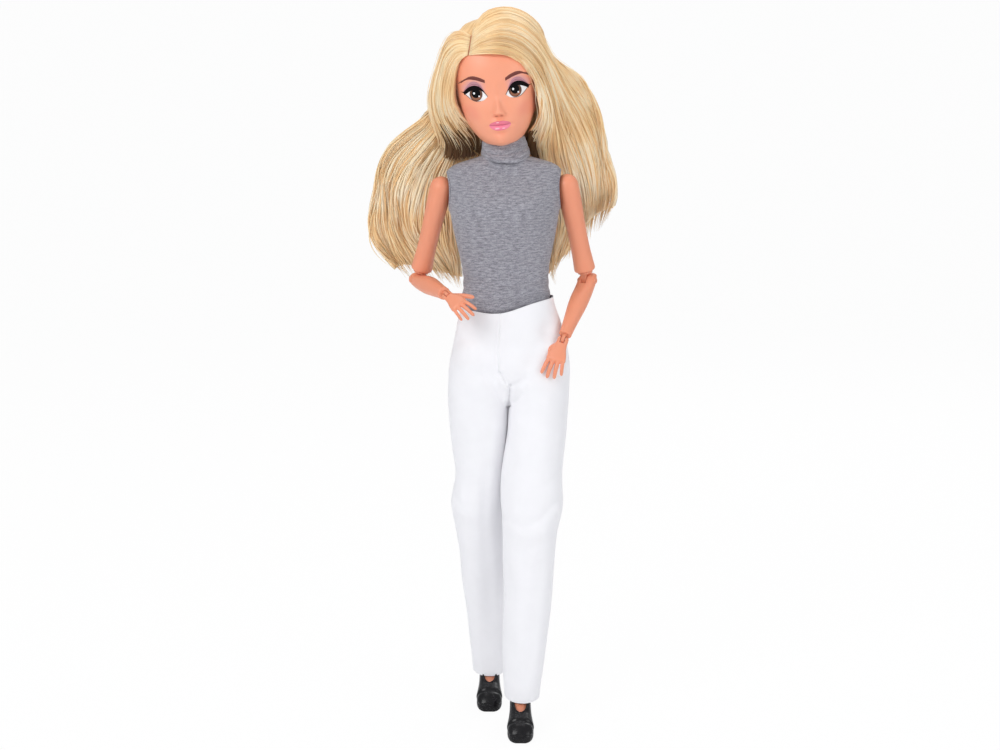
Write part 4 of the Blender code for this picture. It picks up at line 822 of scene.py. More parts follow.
def painted(pile, face, columns, rows=5, lift=0):
    """A thin closed film of paint between a lower and an upper line: columns of across, low, high."""
    columns = np.asarray(columns, float)
    shares = np.linspace(0, 1, rows)
    x = np.repeat(columns[:, :1], rows, axis=1)
    z = columns[:, 1:2] + (columns[:, 2:3] - columns[:, 1:2]) * shares
    y = face_front(x, z, face.nose_reach / MM)
    off = face.paint_lift / MM + lift
    outer = np.stack([x, y - off, z], axis=-1)
    inner = np.stack([x, y + 0.10, z], axis=-1)
    n, m = x.shape
    points = np.concatenate([outer.reshape(-1, 3), inner.reshape(-1, 3)])
    faces = []
    for i in range(n - 1):
        for j in range(m - 1):
            a, b, c, d = i * m + j, (i + 1) * m + j, (i + 1) * m + j + 1, i * m + j + 1
            faces.append((a, b, c, d))
            faces.append(tuple(k + n * m for k in (d, c, b, a)))
    edge = ([(i, 0) for i in range(n)] + [(n - 1, j) for j in range(1, m)]
            + [(i, m - 1) for i in range(n - 2, -1, -1)] + [(0, j) for j in range(m - 2, 0, -1)])
    ring = [i * m + j for i, j in edge]
    for a, b in zip(ring, ring[1:] + ring[:1]):
        faces.append((b, a, a + n * m, b + n * m))
    flat = [(points[k][0], points[k][2]) for f in faces for k in f]
    pile.add(points, faces, flat)


def oval_columns(across, up, half_width, half_height, count=25, low_cut=-1, high_cut=1):
    """Columns of an oval of paint, which the lids may cut above and below."""
    turn = np.linspace(-1, 1, count)
    x = np.sin(turn * TAU / 4)
    tall = np.sqrt(np.clip(1 - x**2, 0.0004, 1))
    return np.stack([across + x * half_width, up + half_height * np.maximum(-tall, low_cut),
                     up + half_height * np.minimum(tall, high_cut)], axis=1)


UPPER_LID = ((3.75, 20.45), (4.6, 21.9), (6.1, 23.75), (7.9, 24.55), (9.9, 24.45), (11.7, 23.7), (13.1, 22.9))
LOWER_LID = ((3.75, 20.35), (5, 19.3), (6.6, 18.9), (8.2, 18.95), (9.9, 19.65), (11.5, 21.1), (13.1, 22.80))

LID_END = 13.1


def lid_lines():
    """The places across an eye white with its lower and upper lid."""
    x = np.linspace(3.8, 13.05, 41)
    upper = table_rows(UPPER_LID, x)[:, 0]
    lower = table_rows(LOWER_LID, x)[:, 0]
    return x, lower, upper


def mirrored(columns, s):
    columns = np.array(columns, float)
    columns[:, 0] *= s
    return columns[::-1] if s < 0 else columns


def clipped_to_lids(columns, s):
    """Keep a disc of paint between the lids."""
    columns = np.array(columns, float)
    x = columns[:, 0] * s
    upper, lower = table_rows(UPPER_LID, x)[:, 0], table_rows(LOWER_LID, x)[:, 0]
    columns[:, 2] = np.minimum(columns[:, 2], upper)
    columns[:, 1] = np.minimum(np.maximum(columns[:, 1], lower), columns[:, 2] - 0.01)
    return columns


def paint_eyes(face, s, layers):
    """Every layer of one eye, from the white up to the lash line."""

    def film(name, across, low, high, rows, lift=0):
        painted(layers[name], face, mirrored(np.stack([across, low, high], axis=1), s), rows, lift)

    def disc(name, columns, rows, lift):
        painted(layers[name], face, columns, rows, lift)

    x, lower, upper = lid_lines()
    film("eye_whites", x, lower - 0.05, upper, 9)
    look = EYE_ACROSS * s - 0.35
    disc("irises", clipped_to_lids(oval_columns(look, EYE_UP, 2.6, 2.75, 33), s), 9, 0.02)
    disc("iris_glow", clipped_to_lids(oval_columns(look, EYE_UP - 1.15, 1.95, 1.25, 25), s), 5, 0.035)
    disc("pupils", clipped_to_lids(oval_columns(look, EYE_UP + 0.35, 1.75, 1.85, 25), s), 7, 0.05)
    disc("eye_glints", oval_columns(look - 0.75, EYE_UP + 0.45, 0.40, 0.46, 15), 5, 0.07)
    disc("eye_glints", oval_columns(look + 1.15, EYE_UP - 0.95, 0.30, 0.34, 13), 5, 0.07)
    # lash line along the upper lid, thicker outwards, ending in a wing
    edge = np.linspace(0, 1, 49)
    across = 3.6 + edge * 10.7
    on_lid = across < LID_END
    lid = np.where(on_lid, table_rows(UPPER_LID, np.minimum(across, LID_END))[:, 0], 0)
    wing = 22.9 + (across - LID_END) * 0.55
    deep = 0.15 + 1 * ease(0, 0.4, edge) * (1 - ease(0.86, 0.97, edge))
    low = np.where(on_lid, lid - deep, wing - 0.25)
    thick = (0.12 + 0.5 * ease(0, 0.55, edge)) * (1 - ease(0.62, 1, edge)) + 0.05
    high = np.where(on_lid, lid, wing - 0.2) + thick
    high = high + 0.22 * ease(0.5, 0.95, edge) * (1 - ease(0.9, 1, edge))
    film("lash_lines", across, low, np.maximum(high, low + 0.03), 5, 0.08)
    # thin lash line under the outer half of the eye
    under = np.linspace(6.6, 13.3, 27)
    line = table_rows(LOWER_LID, np.minimum(under, LID_END))[:, 0]
    share = (under - 6.6) / 6.7
    film("lower_lines", under, line - 0.06 - 0.2 * share, line + 0.04, 3, 0.06)
    # lid shade and its crease
    crease = np.linspace(4.4, 13.4, 35)
    lid = table_rows(UPPER_LID, np.minimum(crease, LID_END))[:, 0]
    rise = np.sin((crease - 4.4) / 9 * TAU / 2) ** 0.7
    film("lid_haze", crease, lid, lid + 2.2 * rise + 0.05, 5, 0.02)
    film("lid_shade", crease, lid, lid + 1.3 * rise + 0.03, 5, 0.03)


def paint_brow(face, s, pile, random):
    """A rising arch of brow paint with short hairs along it."""
    arch = ((4.1, 26.4), (6.2, 27.45), (8.6, 28.25), (10.6, 28.35), (12.2, 27.75), (13.9, 26.7))
    x = np.linspace(4.1, 13.8, 41)
    middle = table_rows(arch, x)[:, 0]
    share = (x - 4.1) / 9.7
    half = (0.60 + 0.14 * ease(0, 0.2, share)) * (1 - 0.85 * ease(0.4, 1, share))
    painted(pile, face, mirrored(np.stack([x, middle - half, middle + half], axis=1), s), 5, 0.015)
    for i in range(54):
        share = i / 53
        x = 4.1 + 9.4 * share
        z = table_rows(arch, np.array([x]))[0, 0] + random.uniform(-0.12, 0.12)
        tall = 0.62 * (1 - ease(0.35, 1, share)) + 0.16
        lean = 0.75 + 1.1 * share
        base = np.linspace(0, 1, 5)
        across = x + base * lean
        low = z - tall * 0.6 + base * tall * (1.25 - 1.15 * share) - base * 0.8 * max(0, share - 0.55)
        width = 0.16 * (1 - base**2) + 0.015
        painted(pile, face, mirrored(np.stack([across, low, low + width], axis=1), s), 2, 0.02 + 0.0006 * i)


def paint_lips(face, upper, lower, parting):
    x = np.linspace(-4.35, 4.35, 45)
    share = np.abs(x) / 4.35
    middle = MOUTH_UP + 0.32 * share**2 + 0.10 * bump_at(x, 0, 0.8)
    bow = 0.30 * bump_at(x, 0, 0.75)
    top = middle + 2 * np.sqrt(np.clip(1 - share**1.7, 0, 1)) * (1 - 0.12 * share) - bow * 1.2
    bottom = middle - 2.05 * np.sqrt(np.clip(1 - share**2.1, 0, 1))
    painted(upper, face, np.stack([x, middle, np.maximum(top, middle + 0.02)], axis=1), 7, 0.05)
    painted(lower, face, np.stack([x, np.minimum(bottom, middle - 0.02), middle], axis=1), 7, 0.06)
    low, high = middle - 0.10 * (1 - share**2) - 0.02, middle + 0.13 * (1 - share**2) + 0.02
    painted(parting, face, np.stack([x, low, high], axis=1), 3, 0.09)


def make_head(face):
    place = head_place()
    made = head_surface(face).piece("painted_head", face_finish(face), place)
    settle(made, "head", "skin_vinyl", "head_shell")
    iris, lips = tuple(face.iris), tuple(face.lips)
    paints = {
        # painted highlights on the lips: pale pink ovals standing for the gloss's reflection of the lamps
        "lip_shine": ("lip_shine_paint", (0.97, 0.62, 0.68), 0.3),
        "eye_whites": ("eye_white_paint", (0.88, 0.84, 0.84), 0.45),
        "irises": ("iris_paint", iris, 0.5),
        "iris_glow": ("iris_glow_paint", shade(iris, 2.6), 0.5),
        "pupils": ("pupil_paint", (0.003, 0.0025, 0.003), 0.5, 0, 0.08),
        "eye_glints": ("glint_paint", (0.93, 0.93, 0.95), 0.25),
        "lash_lines": ("lash_paint", (0.005, 0.003, 0.004), 0.5, 0, 0.06),
        "lower_lines": ("lower_lash_paint", (0.10, 0.045, 0.04), 0.4),
        "lid_haze": ("lid_haze_paint", (0.55, 0.27, 0.31), 0.5, 0, 0.15),
        "lid_shade": ("lid_shade_paint", (0.34, 0.155, 0.20), 0.5, 0, 0.15),
        "brows": ("brow_paint", tuple(face.brows), 0.5, 0, 0.12),
        # the upper lip takes a darker copy of the lip colour as painted shade, the lower lip a lighter copy as
        # painted light
        "upper_lip": ("upper_lip_gloss", shade(lips, 0.9), 0.25, 0.35),
        "lower_lip": ("lower_lip_gloss", shade(lips, 1.15), 0.22, 0.4),
        "lip_parting": ("lip_parting_paint", shade(lips, 0.5), 0.3),
    }
    layers = {name: Pile() for name in paints}
    random = np.random.default_rng(7)
    for s in (1, -1):
        paint_eyes(face, s, layers)
        paint_brow(face, s, layers["brows"], random)
    paint_lips(face, layers["upper_lip"], layers["lower_lip"], layers["lip_parting"])
    # Painted highlights: three pale ovals on the lips where the gloss would catch the light.
    for across, up, wide, high in ((-1.35, 7.35, 0.95, 0.2), (1.3, 7.3, 0.6, 0.16), (-0.9, 9.75, 0.6, 0.14)):
        painted(layers["lip_shine"], face, oval_columns(across, up, wide, high, 17), 3, 0.075)
    for name, pile in layers.items():
        settle(pile.piece(name, paint_finish(*paints[name]), place), "head", "skin_vinyl")


# Hair

# Combing lines from root to tip in the head's frame, in millimetres: across, back, up.
RIGHT_CURTAIN = (
    ((-9.8, -14.5, 37.4), (-11.6, -14, 36.7), (-13.8, -13.5, 34.6), (-15.4, -12.5, 30.7),
     (-16.6, -11.5, 25.7), (-17.1, -10, 20.5), (-15.6, -7, 15), (-13, -3, 10), (-10.3, 2, 5.6),
     (-9.5, 8, 0.6), (-11.5, 14, -5)),
    ((-9.6, -14.5, 38.1), (-12.6, -14, 37.7), (-16, -12.5, 34.4), (-18.6, -11.5, 28.8), (-20.2, -10, 22.3),
     (-20.3, -7.5, 16.3), (-18.3, -3, 9.8), (-15.4, 3, 4.6), (-13.9, 9, -0.5), (-15.4, 15, -5.3)),
    ((-9.1, -13.8, 39.9), (-12.7, -13, 40.5), (-17.2, -11, 37.5), (-20.5, -9.5, 31.2), (-22.6, -8.5, 24),
     (-23.3, -6, 17.3), (-22, -2, 11), (-19.6, 4, 4.7), (-18.9, 10, -0.7), (-21, 16, -6.3)),
    ((-8.3, -12, 42.7), (-12.4, -11, 43.8), (-17.7, -8, 41.1), (-21.1, -6, 34.8), (-24.2, -4.5, 27.7),
     (-25.7, -3, 20.4), (-25.5, 0, 13.5), (-23.9, 5, 7), (-23, 11, 1.2), (-25.2, 17, -5.2)),
    ((-7.7, -10.5, 45.1), (-11.3, -9, 47.1), (-16.2, -4, 45.3), (-19.8, 0, 40.5), (-22.8, 2, 34.1),
     (-25.9, 3, 27.7), (-28.2, 4, 21.1), (-28.5, 6, 15), (-27.6, 9, 9.5), (-26.7, 14, 3.7),
     (-29.3, 19, -3.3)),
)
RIGHT_MASS = (
    ((-12.9, 8, 7.1), (-16.2, 13, 0.3), (-19.3, 17, -5), (-21.9, 20, -12.7), (-24.7, 22, -22),
     (-26.7, 24, -31.4), (-27.2, 26, -41), (-25.2, 28, -50.3), (-24.7, 29, -59.3)),
    ((-17.1, 8, 10.6), (-20.6, 14, 3), (-25.4, 18, -3.7), (-30.4, 22, -11.2), (-33.9, 24, -19.5),
     (-36.4, 26, -28.9), (-35.7, 28, -38.7), (-32.1, 29, -48), (-29.3, 30, -57.3)),
    ((-21.3, 8, 14.1), (-24.8, 14, 6.6), (-31.4, 19, -0.7), (-37.9, 22, -8), (-42.3, 24, -17),
     (-44.1, 26, -27.2), (-43.5, 28, -37.8), (-39.9, 29, -46.3), (-35.4, 30, -55)),
    ((-24, 8, 16.7), (-28.3, 14, 9.3), (-35.6, 19, 2.9), (-42.9, 22, -4.3), (-47.7, 24, -13.3),
     (-50.3, 26, -23.4), (-50.6, 28, -33.9), (-47.4, 29, -43.1), (-42.3, 30, -52.6)),
    ((-26.1, 8, 18.5), (-31.9, 14, 11.2), (-39.4, 19, 6.4), (-47, 22, 0.1), (-52.2, 24, -8.8),
     (-55.2, 26, -19.7), (-56.2, 28, -30), (-53.8, 29, -40), (-47.8, 30, -52)),
    ((-27.5, 8, 16.3), (-33.2, 13, 12.9), (-41.5, 18, 8.2), (-49, 21, 2.7), (-55.1, 23, -6.9),
     (-58.7, 24, -17.5), (-60.8, 26, -27.7), (-60.1, 27, -36.6), (-56.1, 28, -44.4), (-49.4, 29, -52.5)),
)
LEFT_SWEEP = (
    ((-9.3, -14.6, 37.4), (-4.8, -16.3, 37.4), (0.3, -17, 37.1), (5.3, -16.6, 36.2), (9.5, -15.5, 34.3),
     (13.2, -13.8, 31.1), (15.3, -12.5, 27.1), (16.2, -11.5, 22.6), (16.3, -10.5, 17.4), (16.3, -8, 12.1),
     (14.3, -4, 7.7), (11.5, 2, 3.1), (10, 9, -2.5)),
    ((-9.1, -14.6, 38.1), (-3.9, -16.8, 39.1), (2, -17.4, 38.9), (7.6, -16.6, 36.9), (12.3, -14.8, 33),
     (15.5, -13, 28.2), (17.4, -11.5, 22.5), (18.5, -9.5, 15.6), (18.4, -5, 8), (16.8, 3, 0.2),
     (16.6, 12, -8.8), (18.1, 18, -17.2)),
    ((-8.6, -13.8, 39.8), (-2.8, -16, 42.1), (3.9, -16.4, 42.8), (10.2, -15, 40.6), (15.2, -12.5, 35.9),
     (18.3, -10.5, 30.4), (20.1, -8, 23.5), (21.5, -4, 15), (22.7, 2, 5.6), (24.7, 10, -5),
     (26.6, 17, -16.5), (27.8, 21, -27.9), (27.6, 24, -37.6)),
    ((-8.1, -12.5, 41.9), (-1.8, -13.5, 45.2), (5, -13.5, 46.2), (11.3, -12, 44), (16.4, -9.5, 39.4),
     (19.7, -7, 33.1), (22.6, -3, 25.3), (25.5, 2, 16.5), (29, 9, 6), (31.7, 15, -5.4), (33.6, 19, -16.7),
     (34.1, 22, -27.9), (33.9, 24, -37.5)),
    ((-7.4, -11, 44.4), (-0.8, -10, 48.3), (6, -9, 49.7), (12.4, -7.5, 47.1), (17.4, -5, 42.1),
     (21.1, -2, 35.4), (24.9, 3, 28.2), (28.9, 8, 19.7), (33.2, 13, 9.1), (36.7, 17, -2.2),
     (38.6, 20, -14.2), (39.4, 22, -25.4), (38, 24, -35.6)),
    ((-6.8, -8.5, 46.8), (-0.5, -5, 51.6), (6.2, -3, 52.4), (12.7, -2, 49.9), (17.7, 0, 45), (20.8, 3, 38.6),
     (23.8, 6, 31.4), (30.6, 9, 24.3), (35.4, 13, 15.7), (39.4, 16, 5.2), (41.3, 19, -6.7),
     (42.2, 21, -17.1), (42.7, 22, -27.3), (39.5, 24, -36.6)),
    ((-5.8, -5, 49.6), (-0.4, 0, 53.6), (5.6, 2, 53.9), (11.4, 3, 52.4), (16.6, 4, 48.8), (19.9, 5, 44.3),
     (20.9, 6, 38.5), (22.4, 8, 32.7), (27.6, 10, 27.5), (33.6, 12, 23), (37.8, 13, 16.5), (40.8, 14, 8.5),
     (42.2, 16, -0.8), (41.9, 18, -10), (42.8, 20, -17.2), (43.9, 21, -22.7), (42.4, 22, -30.4),
     (35.8, 24, -41.3)),
)
LEFT_MASS = (
    ((12.5, 8, 8.7), (11.2, 13, 0.9), (10.6, 17, -7.7), (11.9, 20, -16.6), (13.9, 22, -26.4),
     (16, 24, -36.3), (15.8, 26, -45.1), (13.3, 27, -53.7), (14.6, 28, -62.8)),
    ((17.9, 8, 9.6), (17.5, 14, -1.4), (18.6, 18, -12.6), (20.5, 21, -23.1), (21.8, 23, -32.9),
     (20.8, 26, -42.6), (17.5, 27, -51), (14.4, 28, -58)),
    ((22.6, 8, 10.6), (23.6, 14, -1.3), (26.2, 18, -13.4), (28.1, 21, -24.8), (28.7, 23, -34.5),
     (27.1, 26, -42.5), (21.8, 27, -47.5)),
)
BACK_FALL = (
    ((-19, 0, 35), (-23.5, 5, 24), (-28, 12, 12), (-38, 23, 0), (-47, 29, -17), (-51, 31, -31),
     (-46, 32, -46)),
    ((-9, -4, 46), (-14.5, 0, 43), (-20, 7, 32), (-24, 15, 16), (-32, 25, 1), (-41, 30, -17), (-46, 32, -34),
     (-42, 33, -50)),
    ((-5, -3, 48.4), (-10.5, 0, 46.4), (-16, 6, 41.5), (-19.5, 14, 31), (-22, 20, 16), (-27, 25, 0),
     (-34, 30, -17),
     (-37, 33, -35), (-36, 33.5, -52)),
    ((-4, 3, 49), (-10.5, 8, 46.2), (-16, 14, 40.5), (-19.5, 19, 30), (-21, 22, 15), (-23, 25, 0),
     (-27, 29, -18), (-30, 31.5, -36), (-30, 32, -55)),
    ((-3, 8, 49.5), (-8, 15, 46.3), (-12, 21, 40), (-14, 24.5, 29), (-15, 26, 13), (-16, 28, -2),
     (-18, 31, -20),
     (-20, 33, -38), (-20, 33, -57)),
    ((-2, 12, 50), (-3, 19, 46.2), (-4, 24.5, 38), (-4, 27, 26), (-4, 28, 10), (-4, 30, -5), (-5, 32, -22),
     (-5, 33.5, -40), (-5, 33, -58.5)),
    ((-1, 7, 52.2), (4, 14, 50.3), (8, 21.5, 41), (9.5, 25, 29), (9, 27, 13), (8, 29, -2), (8, 31.5, -20),
     (9, 33.5, -38), (9, 33, -57.5)),
    ((0, 3, 52.8), (7.5, 9, 51.4), (13.5, 15, 44), (16.5, 20, 31), (18, 23, 16), (19, 26, 1), (22, 29, -18),
     (24, 31.5, -36), (22, 32, -54)),
    ((1, 0, 53), (9, 5, 51.8), (15.5, 9, 45.5), (18, 11, 36), (22, 15, 24), (28, 19, 9), (34, 24, -10),
     (36, 28, -28), (32, 30, -45)),
    ((8, 2, 52.4), (14, 5, 48.6), (18.2, 7, 40.5), (21, 10, 31), (31, 14.5, 20.5), (38.5, 18, 4),
     (40.5, 21, -13),
     (41.5, 23.5, -27), (36, 26, -41)),
)
SCALP_ROWS = (
    # height, half width, front, back, centre back
    (51.6, 1, 1, 1, 5), (50.8, 6, 8.5, 7.5, 5), (47.6, 12.5, 14.3, 14, 5),
    (43, 17.8, 16.6, 18, 5), (37.5, 20.2, 18, 20.8, 5), (30, 21.4, 14.5, 22, 5),
    (20, 21.6, 7.5, 22, 6), (10, 18.5, 2, 20.5, 7), (2, 14.5, -1, 18, 8),
    (-4, 12, -4, 17, 9),
)


class Comb:
    """A surface of hair swept through neighbouring combing lines."""

    def __init__(self, lines, hint, longer=0, swell=0, count=44):
        """longer lets the tips hang further; swell is the depth of the soft waves, both in mm."""
        if longer:
            lines = [(*line, line[-1] + longer * unit(np.subtract(line[-1], line[-2]))) for line in lines]
        self.lines = np.array([polyline(line, count) for line in lines])
        self.hint = np.asarray(hint, float)
        self.top = len(lines) - 1
        self.swell = swell
        self.share = np.linspace(0, 1, count)

    def at(self, place):
        flat = self.lines.reshape(len(self.lines), -1)
        place = min(max(place, 0), float(self.top))
        path = through(np.arange(self.top + 1), flat, np.array([place]))[0].reshape(-1, 3)
        wave = 0.6 * np.sin(2.3 * place + 9 * self.share)
        wave = wave + 0.4 * np.sin(5.1 * place - 13 * self.share + 1)
        sway = np.sin(1.7 * place + 11 * self.share + 0.5)
        grown = self.swell * ease(0.2, 0.6, self.share)
        return path + np.outer(grown * wave, self.hint) + np.outer(0.5 * grown * sway, (1, 0, 0))

    def frame(self, place):
        """A path with its direction outwards and the spread per step across."""
        step = 0.04
        path, low, high = self.at(place), self.at(place - step), self.at(place + step)
        reach = min(place + step, self.top) - max(place - step, 0)
        across = (high - low) / reach
        along = np.gradient(path, axis=0)
        out = unit_rows(np.cross(across, along))
        want = unit_rows(path - np.array([0, 5, 26]))
        want = want * ease(-4, 16, path[:, 2:3]) + self.hint * (1 - ease(-4, 16, path[:, 2:3]))
        if (out * want).sum() < 0:
            out = -out
        return path, out, np.linalg.norm(across, axis=1)


def comb_sheet(comb, name, finish, sink, thick=1.1, count=60, stop=0.97):
    """The closed sheet of combed hair that lies under the locks."""
    rows = []
    for place in np.linspace(0, comb.top, count):
        path, out, _ = comb.frame(place)
        ripple = 0.35 * math.sin(place * 9) + 0.25 * math.sin(place * 21 + 1)
        keep = int(len(path) * stop)
        fade = ease(0, 0.3, np.linspace(0, 1, len(path)))[:, None]
        rows.append((path - out * (sink + ripple * fade))[:keep])
    rows = np.array(rows).transpose(1, 0, 2)
    pile = Pile()
    pile.grid(rows)
    made = pile.piece(name, finish, head_place())
    apply_modifier(made, "SOLIDIFY", thickness=thick * MM, offset=0)
    return settle(made, "head", "hair_fibre")


def comb_locks(comb, piles, random, count, lift=(0, 1), wave=0.5, low=0, high=None, ends=(0.9, 1),
               overlap=1, starts=(0, 0.03), limit=(0.3, 2.3), thick=(0.15, 0.25)):
    """Tapered flattened locks laid over a comb, dealt out between the piles."""
    high = comb.top if high is None else high
    for k in range(count):
        place = low + (k + 0.5 + random.uniform(-0.45, 0.45)) / count * (high - low)
        path, out, spread = comb.frame(place)
        n = len(path)
        share = np.linspace(0, 1, n)
        side = unit_rows(np.cross(out, np.gradient(path, axis=0)))
        swing = wave * random.uniform(0.3, 1)
        swing = swing * np.sin(TAU * (random.uniform(0.7, 1.6) * share + random.random()))
        loft = random.uniform(*lift)
        path = path + side * (swing * ease(0.12, 0.6, share))[:, None]
        path = path + out * (loft * ease(0, 0.15, share) + 0.35 * swing * ease(0.3, 0.8, share))[:, None]
        a, b = int(n * random.uniform(*starts)), max(int(n * random.uniform(*ends)), 8)
        path, out, spread = path[a:b], out[a:b], spread[a:b]
        share = np.linspace(0, 1, len(path))
        half = np.clip(spread * (high - low) / count * overlap * random.uniform(0.75, 1.25), *limit)
        taper = (0.5 + 0.5 * ease(0, 0.10, share)) * (1 - 0.94 * ease(0.80, 1, share) ** 1.3)
        pile = piles[int(random.random() ** 1.25 * len(piles))]
        tube(pile, path, half, random.uniform(*thick), 7, out=out, taper=taper)


def make_scalp(finish):
    """The rooted scalp under the hair."""
    angles = round_turn(72)
    rows = []
    for level in np.linspace(51.6, -4, 60):
        half, front, back, centre = table_row(SCALP_ROWS, level)
        x, y = oval_ring(angles, half, front, back, 2.1)
        rows.append(at_level(x, y + centre, level))
    pile = capped(rows)
    made = pile.piece("rooted_scalp", finish, head_place())
    settle(made, "head", "hair_fibre", "hair_cap")
    return made


def make_hair(hair):
    random = np.random.default_rng(20240611)
    light, mid, dark, deep = (tuple(c) for c in (hair.light, hair.mid, hair.dark, hair.deep))
    pale = hair_finish("pale_gold_hair", light, shade(mid, 1.08), mid, 0.34, 0.5)
    gold = hair_finish("golden_hair", light, mid, dark, 0.38, 0.6)
    honey = hair_finish("honey_hair", mid, shade(mid, 0.8), dark, 0.42, 0.75)
    # The last two finishes are painted shade: dark and half-dark tones for the hair beside the neck, where the
    # head and hair cast shade.
    shadow = hair_finish("neck_shadow_hair", shade(dark, 0.24), shade(dark, 0.15), deep, 0.6, 0.9, 0)
    half_shade = hair_finish("painted_half_shade_hair", shade(mid, 0.66), shade(dark, 0.62), shade(dark, 0.34), 0.5, 0.8, 0)
    make_scalp(honey)
    front, back = (0, -1, 0.25), (0, 1, 0.1)
    combs = {
        # name: comb, CAD node it stands for, locks, lift, wave, depth of the sheet under the locks
        "right_mass": (Comb(RIGHT_MASS, front, 4.5, 1.5), "right_hair_fall", 130, (0, 0.9), 1.5, 1),
        "left_mass": (Comb(LEFT_MASS, front, 3.5, 1.2), None, 60, (0, 0.9), 1.4, 1),
        "back": (Comb(BACK_FALL, back, 3, 0.9), "back_hair_fall", 230, (0, 0.8), 1, 1),
        "right_curtain": (Comb(RIGHT_CURTAIN, front, 0, 0.35), None, 110, (0, 0.6), 0.4, 0.5),
        "left_sweep": (Comb(LEFT_SWEEP, front, 3, 1.1), "left_hair_fall", 250, (0, 0.7), 1, 0.7),
    }
    for name, (comb, node_name, count, lift, wave, sink) in combs.items():
        comb_sheet(comb, name + "_under_hair", gold, sink, stop=0.93)
        piles = [Pile(), Pile(), Pile()]
        comb_locks(comb, piles, random, count, lift, wave, ends=(0.92, 1), overlap=1.8)
        comb_locks(comb, piles, random, count // 2, (lift[0] + 0.3, lift[1] + 0.4), wave * 1.6, overlap=0.5,
                   ends=(0.8, 1), limit=(0.15, 0.6), thick=(0.13, 0.22))
        for pile, finish, tone in zip(piles, (pale, gold, honey), ("pale", "golden", "honey")):
            made = pile.piece(name + "_" + tone + "_locks", finish, head_place())
            settle(made, "head", "hair_fibre", *([node_name] if tone == "pale" and node_name else []))
    # Painted shade beside the neck: the darkest locks go over the lower curtain and sweep, and half-shaded locks
    # over the roots of the masses and the middle of the curtain, fading into the gold.
    pile, half_shade_locks = Pile(), Pile()
    comb_locks(combs["right_curtain"][0], [pile], random, 54, (0.4, 1.1), 0.4, 0, 3.1, starts=(0.60, 0.78),
               ends=(0.98, 1), overlap=1.6)
    comb_locks(combs["left_sweep"][0], [pile], random, 16, (0.4, 1), 0.3, 0, 0.5, starts=(0.74, 0.84),
               ends=(0.98, 1), overlap=1.6)
    comb_locks(combs["right_mass"][0], [half_shade_locks], random, 40, (0.5, 1.2), 0.4, 0, 2.4, ends=(0.2, 0.42))
    comb_locks(combs["left_mass"][0], [half_shade_locks], random, 16, (0.4, 1), 0.4, 0, 0.9, ends=(0.2, 0.4))
    comb_locks(combs["right_curtain"][0], [half_shade_locks], random, 30, (0.3, 0.9), 0.4, 0, 2, starts=(0.5, 0.64),
               ends=(0.74, 0.9))
    settle(half_shade_locks.piece("shaded_neck_locks", half_shade, head_place()), "head", "hair_fibre")
    settle(pile.piece("neck_shadow_locks", shadow, head_place()), "head", "hair_fibre")
    pile = Pile()
    for comb, *_ in combs.values():
        comb_locks(comb, [pile], random, hair.flyaways // 5, (0.8, 2.2), 2.2, overlap=0.1, ends=(0.7, 1),
                   limit=(0.05, 0.09), thick=(0.05, 0.08))
    settle(pile.piece("loose_single_strands", pale, head_place()), "head", "hair_fibre")


# Arms and hands

UPPER_ARM_ROWS = (
    # height from the shoulder, half width, half depth
    (4.62, 0.3, 0.3), (4.45, 1.2, 1.2), (3.9, 2.4, 2.4), (2.8, 3.65, 3.65), (1, 4.45, 4.5), (-1.5, 4.6, 4.7),
    (-6, 4.5, 4.75), (-12, 4.3, 4.6), (-20, 4, 4.25), (-28, 3.95, 4.05), (-33.5, 4.2, 4.1),
    (-36.4, 4.38, 4.18), (-37.2, 4.36, 4.15), (-37.5, 4.2, 4), (-37.6, 3.9, 3.7),
)
FOREARM_ROWS = (
    # height from the elbow, half width, front, back
    (3.45, 0.8, 0.5, 0.5), (3.3, 2.3, 1.2, 1.3), (2.6, 3.3, 2.3, 2.3), (1.2, 3.8, 3, 3.1),
    (-0.8, 3.95, 3.05, 3.45),
    (-3.2, 4.02, 2.75, 3.7), (-6, 4.08, 2.85, 3.85), (-9, 4.05, 3.4, 3.9), (-13.5, 3.82, 3.7, 3.8),
    (-19, 3.3, 3.35, 3.35), (-24.5, 2.78, 2.85, 2.85), (-28.2, 2.56, 2.62, 2.62), (-29.1, 2.5, 2.56, 2.56),
    (-29.4, 2.25, 2.3, 2.3),
)
ELBOW_SLOT_HALF = 1.5
# outwards from the elbow's middle, radius
ELBOW_CAP = ((3.2, 1.35), (3.98, 1.35), (4.12, 1.22), (4.12, 0.85), (3.95, 0.75), (3.95, 0.05))
PALM_ROWS = (
    # height from the wrist, half width, palm side, back of the hand, shift across towards the thumb
    (1.45, 0.7, 0.35, 0.35, 0), (1.1, 1.7, 1, 1, 0), (0.2, 2.05, 1.45, 1.4, 0), (-1.6, 2.1, 1.5, 1.35, 0),
    (-3.6, 2.6, 1.6, 1.3, 0.2), (-5.6, 3.35, 1.5, 1.25, 0.3), (-7.4, 3.55, 1.25, 1.15, 0.1),
    (-8.8, 3.4, 0.95, 1, 0),
    (-9.3, 2.6, 0.5, 0.6, 0),
)
FINGERS = (
    # place across the palm as a share, length, half width, curl in degrees at its three joints
    (-0.76, 6.9, 0.84, (6, 16, 12)), (-0.26, 7.8, 0.88, (8, 20, 14)), (0.26, 7.4, 0.86, (10, 24, 16)),
    (0.76, 5.9, 0.76, (12, 28, 18)),
)
HAND_HALF_WIDTH, PALM_LENGTH = 3.55, 8.6
THUMB = ((1, 0.2, -2), (2.6, 0.7, -3.5), (4.5, 1.2, -5.5), (5.9, 1.6, -7.6), (6.9, 1.8, -9.4))
HAND_VOXEL = 0.2
FINGER_FAN = 12.0


